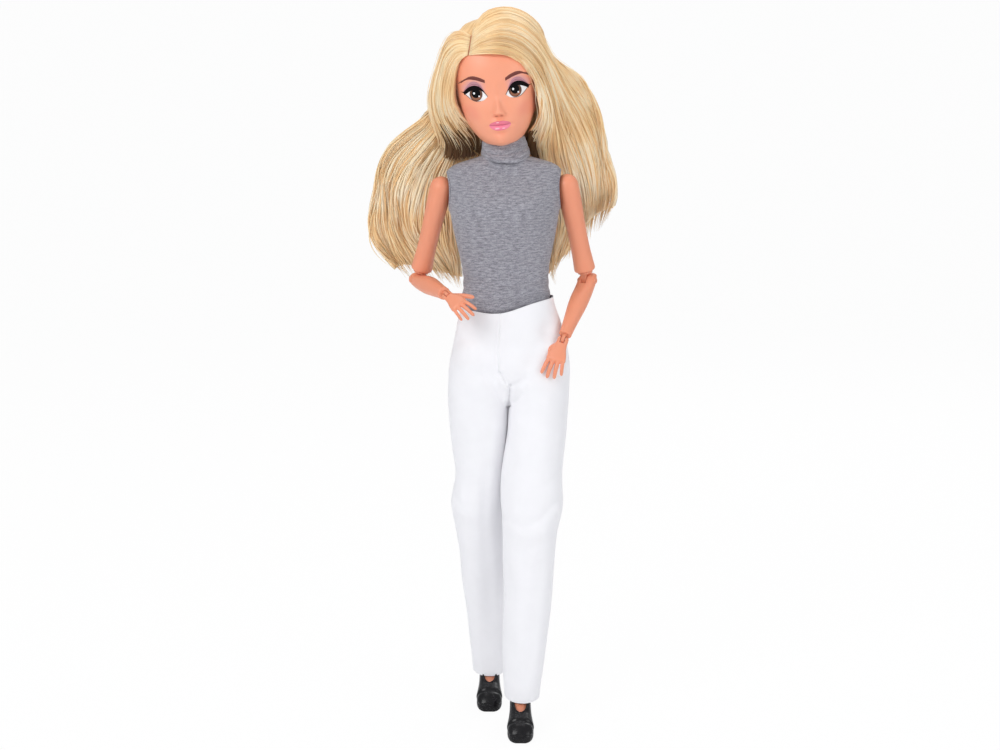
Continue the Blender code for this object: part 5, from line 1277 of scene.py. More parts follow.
def limb_loft(rows, sides=56, step=0.45, power=2.08):
    """A smooth limb through a table of heights and half sizes, closed at both ends."""
    table = np.asarray(rows, float)
    if table.shape[1] == 3:
        table = np.column_stack([table, table[:, 2]])
    high, low = table[0, 0], table[-1, 0]
    levels = np.unique(np.concatenate([table[:, 0], np.arange(low, high, step)]))[::-1]
    angles = round_turn(sides)
    grid = []
    for level in levels:
        half, front, back = table_row(table, level)
        x, y = oval_ring(angles, half, front, back, power)
        grid.append(at_level(x, y, level))
    return capped(grid)


def cut_box(made, place, low, high):
    """Cut a box, given in a body's frame, out of an object."""
    (x0, x1), (y0, y1), (z0, z1) = zip(low, high)
    corners = np.array([(x, y, z) for x in (x0, x1) for y in (y0, y1) for z in (z0, z1)])
    faces = [(0, 1, 3, 2), (4, 6, 7, 5), (0, 4, 5, 1), (2, 3, 7, 6), (0, 2, 6, 4), (1, 5, 7, 3)]
    tool = finish_mesh("cutting_tool", corners, faces, made.data.materials[0], place, smooth=False)
    apply_modifier(made, "BOOLEAN", operation="DIFFERENCE", object=tool, solver="EXACT")
    discard(tool)


def make_finger(pile, root, fan, length, half, curls):
    """One finger with three joints, curled towards the palm at +Y."""
    point, pitch = np.array(root, float), 0.0
    path = [point - np.array([0, 0, -1.2])]
    path.append(point)
    for share, curl in zip((0.44, 0.32, 0.24), curls):
        pitch += math.radians(curl)
        a = math.radians(fan)
        step = np.array([math.sin(a) * math.cos(pitch), math.sin(pitch), -math.cos(a) * math.cos(pitch)])
        point = point + step * length * share
        path.append(point)
    path = polyline(path, 26)
    share = np.linspace(0, 1, 26)
    knuckles = 0.05 * bump_at(share, 0.45, 0.07) + 0.04 * bump_at(share, 0.72, 0.06)
    taper = (1 - 0.22 * share + knuckles) * np.sqrt(np.clip(1 - ease(0.90, 1.03, share), 0.02, 1))
    tube(pile, path, half, half * 0.92, 14, taper=taper)


HAND_SPREAD = (1.12, 1, 1.08)


def make_hand(side, skin):
    """Palm, four curled fingers and a thumb, fused into one smooth hand."""
    s = SIDES[side]
    place = hand_place(side)
    table = np.asarray(PALM_ROWS, float)
    levels = np.linspace(table[0, 0], table[-1, 0], 40)
    angles = round_turn(36)
    grid = []
    for level in levels:
        half, palm, back, shift = table_row(table, level)
        x, y = oval_ring(angles, half, back, palm, 2.4)
        grid.append(at_level(x - s * shift, y, level))
    pile = capped(grid)
    for across, reach, half, curls in FINGERS:
        root = (s * across * HAND_HALF_WIDTH, 0.15, -PALM_LENGTH + 0.6 * abs(across) - 0.2)
        make_finger(pile, root, s * across * FINGER_FAN, reach, half, curls)
    thumb = polyline([(-s * across, y, z) for across, y, z in THUMB], 24)
    share = np.linspace(0, 1, 24)
    tube(pile, thumb, 1.12, 1, 14,
         taper=(1.1 - 0.3 * share) * np.sqrt(np.clip(1 - ease(0.88, 1.03, share), 0.02, 1)))
    made = pile.piece(side + "_moulded_hand", skin, place)
    apply_modifier(made, "REMESH", mode="VOXEL", voxel_size=HAND_VOXEL * MM, use_smooth_shade=True)
    apply_modifier(made, "SMOOTH", factor=0.5, iterations=5)
    if not made.data.materials:
        made.data.materials.append(skin)
    if side == "left":
        spread = place.local(vertex_array(made)) * HAND_SPREAD
        move_vertices(made, place.world(spread))
    cut_box(made, place, (-1.05, -3.4, -1.75), (1.05, 3.4, 3.4))
    settle(made, side + "_hand", "skin_vinyl", side + "_hand")
    return made


def make_arms(face):
    skin = skin_finish("limb_vinyl", tuple(face.limb_skin)).material
    for side in SIDES:
        place = upper_arm_place(side)
        made = limb_loft(UPPER_ARM_ROWS).piece(side + "_upper_arm_moulding", skin, place)
        settle(made, side + "_upper_arm", "skin_vinyl", side + "_upper_arm")
        place = forearm_place(side)
        made = limb_loft(FOREARM_ROWS).piece(side + "_forearm_moulding", skin, place)
        cut_box(made, place, (-ELBOW_SLOT_HALF, -7, -3.65), (ELBOW_SLOT_HALF, 7, 7))
        settle(made, side + "_forearm", "skin_vinyl", side + "_forearm")
        make_hand(side, skin)
        pile = Pile()
        for end in (1, -1):
            rings = [[(end * x, r * math.cos(a), r * math.sin(a)) for a in round_turn(28)]
                     for x, r in ELBOW_CAP]
            pile.grid(rings, wrap=True, caps=(True, True), flip=end > 0)
        caps = pile.piece(side + "_elbow_caps", skin, place)
        settle(caps, side + "_forearm", "joint_plastic")


def finish_frame_nodes(face):
    """Give every CAD node that stays in view a finish of its own slot."""
    limb = bpy.data.materials["limb_vinyl"]
    joint = skin_finish("joint_plastic_grain", shade(tuple(face.limb_skin), 0.93), 0.34).material
    slots = {row["node"]: row["material_slot"] for row in frame["record"]["subparts"]}
    for name, cad in frame["nodes"].items():
        finish = joint if slots.get(name) == "joint_plastic" else limb
        cad.data.materials.clear()
        cad.data.materials.append(finish)


# Knit top and collar

TOP_ROWS = (
    # height over the waist joint, half width, front, back
    (-18, 18.4, 10.4, 10.6), (-12, 18.2, 10.5, 10.5), (-3, 17.6, 10.6, 10.2), (4, 18.2, 11.3, 10.3),
    (10.5, 19.5, 12.6, 10.8), (18, 21.1, 14.9, 11.6), (26.5, 22.4, 16.4, 12.4), (33, 22.9, 14.4, 12.9),
    (38, 23.3, 11.4, 12.8), (41.5, 23.1, 9.7, 12.3), (44.2, 21.9, 8.6, 11.3), (46, 18.4, 7.9, 10.2),
    (47.3, 13.8, 7.5, 9.4), (48.5, 9.9, 7.2, 8.6), (49.8, 8.2, 7, 8.1), (51, 7.9, 6.9, 8),
)
ARMHOLE_CENTRE, ARMHOLE_HALF = (0.6, 34.6), (5.5, 7.9)
TOP_FOLDS = (
    # start across and up, end across and up, width, height
    ((-17, 20), (-6, 8), 2.6, 0.35), ((17, 20), (7, 7), 2.6, 0.32),
    ((-16, 2), (2, -4), 1.8, 0.30), ((17, -1), (-3, 3), 2, 0.28),
    ((-15, -7), (8, -9.5), 1.6, 0.30), ((-20, 38), (-10, 32), 1.8, 0.28),
    ((20, 38), (10, 31), 1.8, 0.30), ((-9, 44), (-14, 36), 1.8, 0.22),
    ((9, 44), (13, 37), 1.8, 0.22), ((-6, 42.5), (6, 41.5), 1.6, -0.18),
)


def fold_height(across, up, folds):
    """Soft ridges and creases along straight lines seen from the front."""
    high = np.zeros_like(across)
    for (x0, z0), (x1, z1), wide, amount in folds:
        dx, dz = x1 - x0, z1 - z0
        reach = math.hypot(dx, dz)
        along = ((across - x0) * dx + (up - z0) * dz) / reach
        off = ((across - x0) * dz - (up - z0) * dx) / reach
        fade = ease(-wide, wide, along) * ease(reach + wide, reach - wide, along)
        high += amount * fade * (bump_at(off, 0, wide) - 0.45 * bump_at(off, 1.5 * wide, wide))
    return high


def cloth_shell(points, faces, thick, normals):
    """A closed double layer: the outer points, the same points moved inwards, and rims along open edges."""
    inner = points - normals * thick
    n = len(points)
    every = [tuple(f) for f in faces] + [tuple(i + n for i in reversed(f)) for f in faces]
    edges = {}
    for f in faces:
        for a, b in zip(f, f[1:] + f[:1]):
            edges[(a, b)] = edges.get((a, b), 0) + 1
    for a, b in edges:
        if (b, a) not in edges:
            every.append((b, a, a + n, b + n))
    return np.concatenate([points, inner]), every


def surface_normals(points, faces):
    total = np.zeros_like(points)
    for size in {len(f) for f in faces}:
        f = np.array([g for g in faces if len(g) == size])
        cross = np.cross(points[f[:, 2]] - points[f[:, 0]], points[f[:, -1]] - points[f[:, 1]])
        for k in range(size):
            np.add.at(total, f[:, k], cross)
    return total / (np.linalg.norm(total, axis=1)[:, None] + 1e-12)


def tail_lift(place, x, y, z):
    """How far the top's lower edge is raised so that it lies just inside the slanting waistband."""
    lowest = TOP_ROWS[0][0]
    edge = place.world(at_level(x, y, lowest))
    dip = BELT_DIP * bump_at(edge[:, 0], BELT_DIP_PLACE, BELT_DIP_WIDTH) * ease(6, -4, edge[:, 1])
    raised = BELT_LEVEL + BELT_SLOPE * edge[:, 0] + dip - 2 - edge[:, 2]
    return np.clip(raised, 0, None) * np.clip((-3 - z) / (-3 - lowest), 0, 1)


def make_tail(knit, place):
    """The tail of the top that stays tucked in the trousers when the waist moves."""
    angles = round_turn(120)
    rows = []
    for z in np.linspace(-21, -4.9, 40):
        half, front, back = table_row(TOP_ROWS, max(z, -18))
        inset = 0.75 + 6.5 * float(ease(-6.2, -4.9, z)) ** 2
        x, y = oval_ring(angles, half - inset, front - inset, back - inset, 2.25)
        rows.append(at_level(x, y, z))
    pile = Pile()
    pile.grid(np.array(rows), wrap=True)
    tail = pile.piece("tucked_tail_of_the_top", knit, place)
    apply_modifier(tail, "SOLIDIFY", thickness=0.3 * MM, offset=-1)
    settle(tail, "pelvis", "knit_fabric")
    declare_sheet(tail, (124, 20))


def make_top(cloth):
    knit = knit_finish(cloth)
    place = chest_place()
    levels = np.concatenate([np.arange(-18, 41, 0.6), np.arange(41, 51.01, 0.35)])
    angles = round_turn(220)
    rows, flat = [], []
    for z in levels:
        half, front, back = table_row(TOP_ROWS, z)
        x, y = oval_ring(angles, half, front, back, 2.25)
        zs = z + tail_lift(place, x, y, z)
        chest = 1.5 * (bump_at(x, 8.6, 5.6) + bump_at(x, -8.6, 5.6)) * bump_at(zs, 27, 6.5)
        between = -0.35 * bump_at(x, 0, 4) * bump_at(zs, 26, 7)
        push = (chest + between + fold_height(x, zs, TOP_FOLDS)) * ease(2, -5, y)
        push += 0.16 * np.sin(zs * 1.35 + 2.1 * np.sin(angles * 2)) * ease(8, -2, zs)
        push += 0.3 * np.sin(angles * 5 + zs * 0.12) * ease(6, -10, zs) * 0.5
        out = np.stack([np.cos(angles), np.sin(angles) * 1.2], axis=1)
        rows.append(np.stack([x + out[:, 0] * push, y + out[:, 1] * push, zs], axis=1))
        lengths = np.linalg.norm(np.diff(rows[-1], axis=0, append=rows[-1][:1]), axis=1)
        start = len(angles) * 3 // 4
        run = np.concatenate([[0], np.cumsum(lengths)])
        flat.append(np.stack([run - run[start], np.full(len(run), 0)], axis=1))
    rows = np.array(rows)
    climb = walked(rows[:, 165])
    flat = np.array(flat)
    flat[:, :, 1] = climb[:, None]
    n, m = rows.shape[:2]
    points = rows.reshape(-1, 3)
    for s in (1, -1):
        dy = (points[:, 1] - ARMHOLE_CENTRE[0]) / ARMHOLE_HALF[0]
        dz = (points[:, 2] - ARMHOLE_CENTRE[1]) / ARMHOLE_HALF[1]
        ratio = np.hypot(dy, dz)
        near = (np.abs(ratio - 1) < 0.075) & (points[:, 0] * s > 8)
        points[near, 1] = ARMHOLE_CENTRE[0] + ARMHOLE_HALF[0] * dy[near] / ratio[near]
        points[near, 2] = ARMHOLE_CENTRE[1] + ARMHOLE_HALF[1] * dz[near] / ratio[near]
        pull = bump_at(ratio, 1, 0.22) * (points[:, 0] * s > 8) * (ratio > 0.9)
        points[:, 0] += s * 0.25 * pull
    faces, corners = [], []
    for i in range(n - 1):
        for j in range(m):
            k = (j + 1) % m
            face = (i * m + j, i * m + k, (i + 1) * m + k, (i + 1) * m + j)
            centre = points[list(face)].mean(axis=0)
            r = math.hypot((centre[1] - ARMHOLE_CENTRE[0]) / ARMHOLE_HALF[0],
                           (centre[2] - ARMHOLE_CENTRE[1]) / ARMHOLE_HALF[1])
            if abs(centre[0]) > 8 and r < 0.985:
                continue
            faces.append(face)
            corners.append((flat[i, j], flat[i, j + 1], flat[i + 1, j + 1], flat[i + 1, j]))
    normals = surface_normals(points, faces)
    every_point, every_face = cloth_shell(points, faces, cloth.knit_thickness / MM, normals)
    uv = [spot for face in corners for spot in face] + [spot for face in corners for spot in face[::-1]]
    rim = len(every_face) - 2 * len(faces)
    uv += [(0, 0)] * (4 * rim)
    made = finish_mesh("sleeveless_knit_top", every_point, every_face, knit, place, uv)
    bm = opened(made)
    bmesh.ops.delete(bm, geom=[v for v in bm.verts if not v.link_faces], context="VERTS")
    put_back(bm, made)
    settle(made, "chest", "knit_fabric", "knit_top", "top_closure")
    declare_sheet(made, (132, 74))

    pile = Pile()
    turn = np.linspace(0, TAU, 90, endpoint=False)
    for s in (1, -1):
        ring_y = ARMHOLE_CENTRE[0] + ARMHOLE_HALF[0] * np.cos(turn)
        ring_z = ARMHOLE_CENTRE[1] + ARMHOLE_HALF[1] * np.sin(turn)
        half = table_rows(TOP_ROWS, ring_z)
        side = np.clip(np.abs(ring_y) / np.where(ring_y < 0, half[:, 1], half[:, 2]), 0, 1)
        ring_x = s * (half[:, 0] * (1 - side**2.25) ** (1 / 2.25) + 0.15)
        path = np.stack([ring_x, ring_y, ring_z], axis=1)
        outward = np.tile([s, 0, 0], (len(path), 1))
        radial = unit_rows(np.stack([np.zeros_like(turn), np.cos(turn), np.sin(turn)], axis=1))
        rows = []
        for a in round_turn(10):
            rows.append(path + outward * 0.42 * math.cos(a) + radial * (0.5 * math.sin(a) + 0.05))
        grid = np.array(rows).transpose(1, 0, 2)
        closed = np.concatenate([grid, grid[:1]])
        pile.grid(closed, wrap=True, flip=s > 0)
    band = pile.piece("armhole_bands", knit, place)
    weld(band)
    settle(band, "chest", "knit_fabric")
    make_collar(cloth, knit, place)
    make_tail(knit, place)


def unit_rows(vectors):
    return vectors / (np.linalg.norm(vectors, axis=1)[:, None] + 1e-12)


def weld(made, distance=0.002):
    """Join points that lie on each other, such as where a ring closes on itself."""
    bm = opened(made)
    bmesh.ops.remove_doubles(bm, verts=bm.verts, dist=distance * MM)
    put_back(bm, made)


COLLAR_PROFILE = (
    # share of the way up, distance out from the collar's own line
    (0.10, -1.25), (0.02, -0.75), (-0.03, 0), (0.01, 0.72), (0.09, 0.98), (0.22, 0.86), (0.36, 0.55),
    (0.43, 0.22), (0.50, 0.36), (0.66, 0.30), (0.82, 0.12), (0.94, 0.02), (1.00, -0.28), (1.00, -0.68),
    (0.94, -0.95), (0.75, -1.05), (0.45, -1.10), (0.20, -1.20),
)


def make_collar(cloth, knit, place):
    """The turtleneck, folded over once: a soft roll that dips at the front under the chin."""
    angles = round_turn(200)
    c, s = np.cos(angles), np.sin(angles)
    front = (1 - s) / 2
    low = 49.9 - 3.5 * front**1.6 - 0.15 * c + 0.15 * np.sin(3 * angles + 0.6)
    high = 56.4 + 0.9 * c - 1.1 * front + 0.12 * np.sin(4 * angles)
    profile = polyline([(a, b, 0) for a, b in COLLAR_PROFILE], 64)
    rows = []
    for share, out, _ in profile:
        wobble = 0.10 * np.sin(5 * angles + 3 * share)
        wobble = wobble + 0.14 * np.sin(2 * angles + 1.1) * bump_at(share, 0.43, 0.2)
        crease_shift = 0.05 * np.sin(2 * angles + 2)
        level = low + (high - low) * (share + crease_shift * bump_at(share, 0.43, 0.25))
        x_half = 9.1 - 0.35 * share + out + wobble
        f_half = 9.3 - 1.1 * share + out + wobble
        b_half = 9.6 - 0.9 * share + out + wobble
        depth = np.where(s < 0, f_half, b_half)
        rows.append(np.stack([x_half * c + 0.9 * (1 - share), depth * s, level], axis=1))
    rows = np.array(rows)
    pile = Pile()
    pile.grid(np.concatenate([rows, rows[:1]]), wrap=True)
    made = pile.piece("folded_collar", knit, place)
    weld(made)
    settle(made, "chest", "knit_fabric", "turtleneck_collar")
    declare_sheet(made, (70, 12))


def declare_sheet(made, flat):
    """Work out one layer's area of a garment, no more than its cut's bounding width times length in mm; the result
    is not kept.
    """
    mesh = made.data
    area = sum(face.area for face in mesh.polygons) / 2
    width, length = (side * MM for side in flat)
    area = round(min(area, width * length), 7)


# Trousers

SEAT_ROWS = (
    # height, right side, left side, front, back
    (192, -12, 24.2, -9.2, 13.2), (184, -12.2, 24.6, -9.6, 13.6), (178, -12.7, 25.5, -10.2, 14.1),
    (171, -14.5, 27.9, -10.9, 14.9), (165, -15.6, 29.8, -11.4, 15.6), (158, -16.9, 31.4, -11.9, 16.5),
    (151, -18, 32.2, -12.3, 17), (146, -17.4, 31.2, -11.6, 16.2), (143, -12, 25.5, -10, 14.2),
    (139.5, -5, 17.5, -8.5, 12), (136.8, 0, 12.8, -6, 9.5), (135.8, 3, 9.8, -3, 6.5),
)
LEG_ROWS = {
    "right": (
        (166, -12.5, 2.5, -7, 11), (163, -14.8, 4.4, -9.6, 14.2), (156, -17.1, 5.6, -11.4, 16.1),
        (149, -18.1, 6.1, -11.8, 16.4), (140, -18.6, 6.9, -11.7, 16.2), (130, -18.1, 7.1, -11, 15.9),
        (116, -16.7, 6.6, -9.6, 15.4), (104, -15.4, 5.9, -8.6, 14.8), (96, -16.8, 5.4, -8, 14.7),
        (91, -17.1, 4.9, -7.3, 15.2), (82, -15.7, 5.2, -5.2, 17.3), (70, -13.9, 5.6, -1.7, 20.2),
        (56, -12.7, 5.8, 3, 23), (41, -10.7, 6.1, 8.2, 26.4), (26, -9.3, 6.3, 12.2, 30.2),
        (16, -8.2, 6.6, 12.7, 32.6), (8, -7.6, 6.8, 12.6, 33.6),
    ),
    "left": (
        (166, 27, 11.5, -7.5, 10.5), (163, 29.4, 9.8, -10, 13.8), (156, 31.6, 8.3, -11.8, 15.8),
        (149, 32.3, 7.5, -13.2, 16.2), (141, 32, 7.1, -14.2, 15.8), (131, 31.4, 6.5, -15.4, 13.8),
        (124, 31, 6.3, -16.8, 11.2), (116, 30, 5.1, -18.2, 8), (109, 29.4, 4, -19.3, 5.2),
        (103, 29.4, 3.7, -20.2, 3.4), (97, 29.8, 3.8, -21, 1.8), (92, 29.2, 4.2, -21.8, 0.4),
        (84.5, 27.6, 4.6, -22.3, -0.6), (72, 26.4, 4.9, -22.4, -1.4), (54, 25.4, 5.2, -22.3, -3.4),
        (41, 24, 5.1, -22.3, -4.8), (29, 22.7, 5, -22.7, -5.4), (18, 21.2, 5.6, -23.8, -4.9),
        (8, 20.6, 6.4, -24.4, -4.6),
    ),
}
FRONT_FOLDS = (
    # start across and up, end across and up, width, height (a crease is a low one)
    ((2.6, 151), (7.4, 144.5), 1.1, -0.9), ((7.3, 145), (6.6, 135), 0.75, -1.3), ((-2, 150.5),
     (3.5, 146.2), 3.2, -0.9),
    ((8.2, 144.6), (14.5, 148.6), 1.6, -0.75), ((10, 157.2), (21, 161), 3, 0.35),
    ((-14, 152), (0, 155.5), 2.6, 0.38), ((-15.5, 143), (-4, 147.2), 2.4, 0.28),
    ((4.6, 91), (13, 87.6), 1.8, -0.45), ((11.8, 87), (20, 90.6), 2.2, -0.55),
    ((19, 90.2), (27, 98), 2, -0.5), ((13, 83), (24, 86), 2.6, 0.4),
    ((21, 104), (30, 110), 2.4, -0.3), ((-17.5, 99.5), (-11, 90.5), 2, -0.5),
    ((-17, 94), (-8, 86.5), 2.2, 0.35), ((-13.5, 104), (-9, 60), 2.2, 0.3),
    ((-2, 112), (-3.5, 84), 2, -0.45), ((-3.2, 84), (0.5, 40), 2.4, -0.4),
    ((1.5, 128), (-1, 100), 2.2, 0.3), ((11, 70), (11.5, 24), 2.6, 0.32),
    ((20, 74), (16.5, 26), 2.4, -0.3), ((-7, 60), (-4.5, 24), 2.2, 0.28),
    ((9, 138), (11, 112), 2.4, 0.3), ((26, 140), (25, 112), 3, -0.25),
)
BACK_FOLDS = (
    ((-12, 150), (4, 146), 2.4, -0.6), ((27, 150), (9, 146), 2.4, -0.6),
    ((-13, 97), (2, 92), 1.8, -0.6), ((-12, 90), (1, 86), 2, 0.4),
    ((28, 99), (8, 94), 1.8, -0.6), ((26, 91), (9, 88), 2, 0.4),
    ((-6, 76), (-2, 30), 2.4, 0.35), ((18, 80), (15, 30), 2.4, 0.35),
    ((-9, 165), (-2, 157), 2.6, 0.3), ((22, 167), (12, 158), 2.6, 0.3),
)
HIP_DENT = (22.4, 168.2, 3, 4.2, 0.85)
BELT_LEVEL, BELT_SLOPE, BELT_DIP, BELT_DIP_PLACE, BELT_DIP_WIDTH = 177.9, 0.118, -3.2, 2.6, 11.5
HEM_LEVEL = {"left": 13.2, "right": 12.2}
CLOTH_VOXEL, CLOTH_SMOOTHING = 0.72, 9
CROTCH = (6.4, 134.9)
BRIEF_LINE = {"left": (33, 157), "right": (-19, 156)}


def garment_tube(rows, sides=96, step=0.9, power=2.25):
    """A closed tube through a table of heights with the places of its four sides."""
    table = np.asarray(rows, float)
    levels = np.arange(table[0, 0], table[-1, 0], -step)
    levels = np.append(levels, table[-1, 0])
    angles = round_turn(sides)
    grid = []
    for level in levels:
        a, b, front, back = table_row(table, level)
        x, y = oval_ring(angles, abs(b - a) / 2, (back - front) / 2, (back - front) / 2, power)
        grid.append(at_level(x + (a + b) / 2, y + (front + back) / 2, level))
    return np.array(grid)


def trouser_form(legs, fabric):
    """Seat and legs fused into one soft surface with its folds; returns the object."""
    pile = capped(garment_tube(SEAT_ROWS))
    for side in legs:
        pile.grid(garment_tube(LEG_ROWS[side]), wrap=True, caps=(True, True), flip=True)
    made = pile.piece("trouser_form", fabric)
    apply_modifier(made, "REMESH", mode="VOXEL", voxel_size=CLOTH_VOXEL * MM, use_smooth_shade=True)
    apply_modifier(made, "SMOOTH", factor=0.5, iterations=CLOTH_SMOOTHING)
    bm = opened(made)
    for _ in range(2):
        chosen = [f for f in bm.faces if near_front_seam(f.calc_center_median() / MM)]
        edges = list({e for f in chosen for e in f.edges})
        bmesh.ops.subdivide_edges(bm, edges=edges, cuts=1, use_grid_fill=True)
    bm.normal_update()
    put_back(bm, made)
    points = vertex_array(made)
    normals = np.array([v.normal for v in made.data.vertices])
    points = points + normals * trouser_relief(points, normals)[:, None]
    move_vertices(made, points)
    return made


def seam_place(up):
    return np.interp(up, (143.8, 148, 151.3, 158.4, 166.7, 175.8), (6.7, 4.4, 2.8, 2.3, 2.6, 2.8))


def near_front_seam(point):
    x, y, z = point
    return y < 2 and 142.5 < z < 181 and abs(x - seam_place(z)) < 2.2


def trouser_relief(points, normals):
    x, y, z = points.T
    front = ease(0.15, -0.35, normals[:, 1])
    back = ease(-0.15, 0.35, normals[:, 1])
    high = front * fold_height(x, z, FRONT_FOLDS) + back * fold_height(x, z, BACK_FOLDS)
    hx, hz, wx, wz, deep = HIP_DENT
    high -= front * deep * np.exp(-(((x - hx) / wx) ** 2) - ((z - hz) / wz) ** 2)
    off = x - seam_place(z)
    seam = ease(142.6, 145.5, z) * front
    high -= seam * (0.30 * bump_at(off, 0, 0.22) + 0.16 * ease(0.1, -1.6, off) * ease(-5, -1.6, off))
    high += seam * 0.12 * bump_at(off, 0.7, 0.55)
    high -= back * ease(143, 147, z) * 0.28 * bump_at(x, 5.8, 0.5)
    slow = np.sin(x * 0.31 + z * 0.13) * np.sin(z * 0.093 + x * 0.05 + y * 0.21)
    return high + 0.10 * slow


def cut_by_plane(bm, centre, normal):
    """Keep what lies under a plane, given in millimetres."""
    every = list(bm.verts) + list(bm.edges) + list(bm.faces)
    bmesh.ops.bisect_plane(bm, geom=every, dist=1e-7, plane_co=Vector(centre) * MM, plane_no=Vector(normal),
                           clear_outer=True)


def brief_plane(side):
    """A point on the slanted line between seat and leg, and the direction up across it."""
    (x0, z0), (x1, z1) = CROTCH, BRIEF_LINE[side]
    run = np.array([x1 - x0, 0, z1 - z0])
    up = unit(np.cross(run, (0, 1, 0)))
    return (x0, 0, z0), tuple(up if up[2] > 0 else -up)


def garment_piece(name, form, bm, fabric, dome=None):
    """Turn a cut surface into closed cloth whose shading runs on across the cut."""
    bm.verts.index_update()
    points = np.array([v.co for v in bm.verts]) / MM
    faces = [tuple(v.index for v in f.verts) for f in bm.faces]
    normals = surface_normals(points, faces)
    tree = kdtree.KDTree(len(form.data.vertices))
    for i, v in enumerate(form.data.vertices):
        tree.insert(v.co, i)
    tree.balance()
    source = np.array([v.normal for v in form.data.vertices])
    edge = [v.index for v in bm.verts if v.is_boundary]
    for i in edge:
        near = tree.find_n(Vector(points[i]) * MM, 3)
        normals[i] = unit(sum(source[k] / (d + 1e-5) for _, k, d in near))
    if dome is not None:
        centre, up = np.array(dome[0]), np.array(dome[1])
        loop = np.array([i for i in edge if abs((points[i] - centre) @ up) < 0.02])
        middle = points[loop].mean(axis=0)
        side_a = unit(np.cross(up, (0, 1, 0)))
        side_b = np.cross(up, side_a)
        rel = points[loop] - middle
        loop = loop[np.argsort(np.arctan2(rel @ side_b, rel @ side_a))]
        count, rows, ring_normals = len(loop), [], []
        base = points[loop] - normals[loop] * 0.55
        for k in range(0, 10):
            t = math.radians(88) * k / 9
            rise = up * (0.35 + DOME_RISE * math.sin(t))
            rows.append(middle + (base - middle) * math.cos(t) + rise)
            ring_normals.append(unit_rows((base - middle) * math.cos(t) / 12 + up * math.sin(t)))
        start = len(points)
        points = np.concatenate([points] + rows)
        normals = np.concatenate([normals] + ring_normals)
        rings = [loop] + [np.arange(start + k * count, start + (k + 1) * count) for k in range(10)]
        probe = (points[rings[0][0]], points[rings[0][1]], points[rings[1][1]])
        outward = np.cross(probe[1] - probe[0], probe[2] - probe[0]) @ normals[loop[0]]
        for lower, upper in zip(rings, rings[1:]):
            for j in range(count):
                k = (j + 1) % count
                face = (lower[j], lower[k], upper[k], upper[j])
                faces.append(tuple(int(i) for i in (face if outward > 0 else face[::-1])))
        last = [int(i) for i in rings[-1]]
        faces.append(tuple(last if outward > 0 else last[::-1]))
    every_point, every_face = cloth_shell(points, faces, TROUSER_THICKNESS, normals)
    made = finish_mesh(name, every_point, every_face, fabric)
    made.data.normals_split_custom_set_from_vertices(np.concatenate([normals, -normals]).tolist())
    return made


DOME_RISE = 10.0
TROUSER_THICKNESS = 0.42
HEM_FADE_LEVEL = 24.0
HEM_MIDDLE = {"left": 13.4, "right": -0.6}


def bend_belt(bm):
    """Dip the waist edge at the centre front, fading out below it."""
    for v in bm.verts:
        x, y, z = v.co / MM
        level = BELT_LEVEL + BELT_SLOPE * x
        dip = BELT_DIP * math.exp(-(((x - BELT_DIP_PLACE) / BELT_DIP_WIDTH) ** 2)) * float(ease(6, -4, y))
        v.co.z += dip * float(ease(level - 16, level, z)) * MM


def bend_hem(bm, side):
    """Lift the hem a little at its sides, fading out above it."""
    level = HEM_LEVEL[side]
    for v in bm.verts:
        x, y, z = v.co / MM
        if z < HEM_FADE_LEVEL:
            lift = 0.9 * min(1, ((x - HEM_MIDDLE[side]) / 8) ** 2) - 0.35
            v.co.z += lift * float(ease(HEM_FADE_LEVEL, level, z)) * MM


def make_trousers(cloth):
    fabric = trouser_finish(cloth)
    whole = trouser_form(("left", "right"), fabric)
    bm = opened(whole)
    cut_by_plane(bm, (0, 0, BELT_LEVEL), (-BELT_SLOPE, 0, 1))
    for side in SIDES:
        point, up = brief_plane(side)
        cut_by_plane(bm, point, tuple(-u for u in up))
    bend_belt(bm)
    seat = garment_piece("trouser_seat", whole, bm, fabric)
    bm.free()
    settle(seat, "pelvis", "trouser_fabric", "trousers_seat", "trousers_closure")
    declare_sheet(seat, (150, 44))
    discard(whole)
    for side in SIDES:
        form = trouser_form((side,), fabric)
        bm = opened(form)
        point, up = brief_plane(side)
        cut_by_plane(bm, point, up)
        cut_by_plane(bm, (0, 0, HEM_LEVEL[side]), (0, 0, -1))
        bend_hem(bm, side)
        leg = garment_piece(side + "_trouser_leg", form, bm, fabric, dome=(point, up))
        bm.free()
        discard(form)
        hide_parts(side + "_trousers_thigh", side + "_trousers_shin")
        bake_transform(leg)
        declare_sheet(leg, (82, 150))


def discard(made):
    mesh = made.data
    bpy.data.objects.remove(made)
    bpy.data.meshes.remove(mesh)


# Boots

BOOT_ROWS = (
    # place from the ankle, forwards negative; half width, underside, widest level, top
    (9.05, 1.2, -11.6, -9.8, -8.4), (8.8, 2.2, -12.2, -9.9, -6.9), (8, 3.2, -13.2, -10, -5.7),
    (6, 3.95, -14.4, -10.6, -5), (2.8, 4.25, -15.6, -11.4, -4.7), (-1, 4.35, -16.5, -12, -5.1),
    (-4, 4.4, -17.6, -12.9, -6.1), (-7.1, 4.5, -19.8, -14.4, -8.3), (-10, 4.75, -22, -16.3, -10.9),
    (-12.6, 5.1, -22.9, -17.8, -12.7), (-14.6, 5.38, -23, -18.8, -13.7), (-16.6, 5.45, -23, -19.2, -14.6),
    (-18.6, 5.2, -23, -19.5, -15.9), (-20.2, 4.55, -23, -19.9, -17.3), (-21.2, 3.7, -22.95, -20.3, -18.5),
    (-21.8, 2.6, -22.8, -20.9, -19.5), (-22.1, 1.3, -22.4, -21.3, -20.4),
)
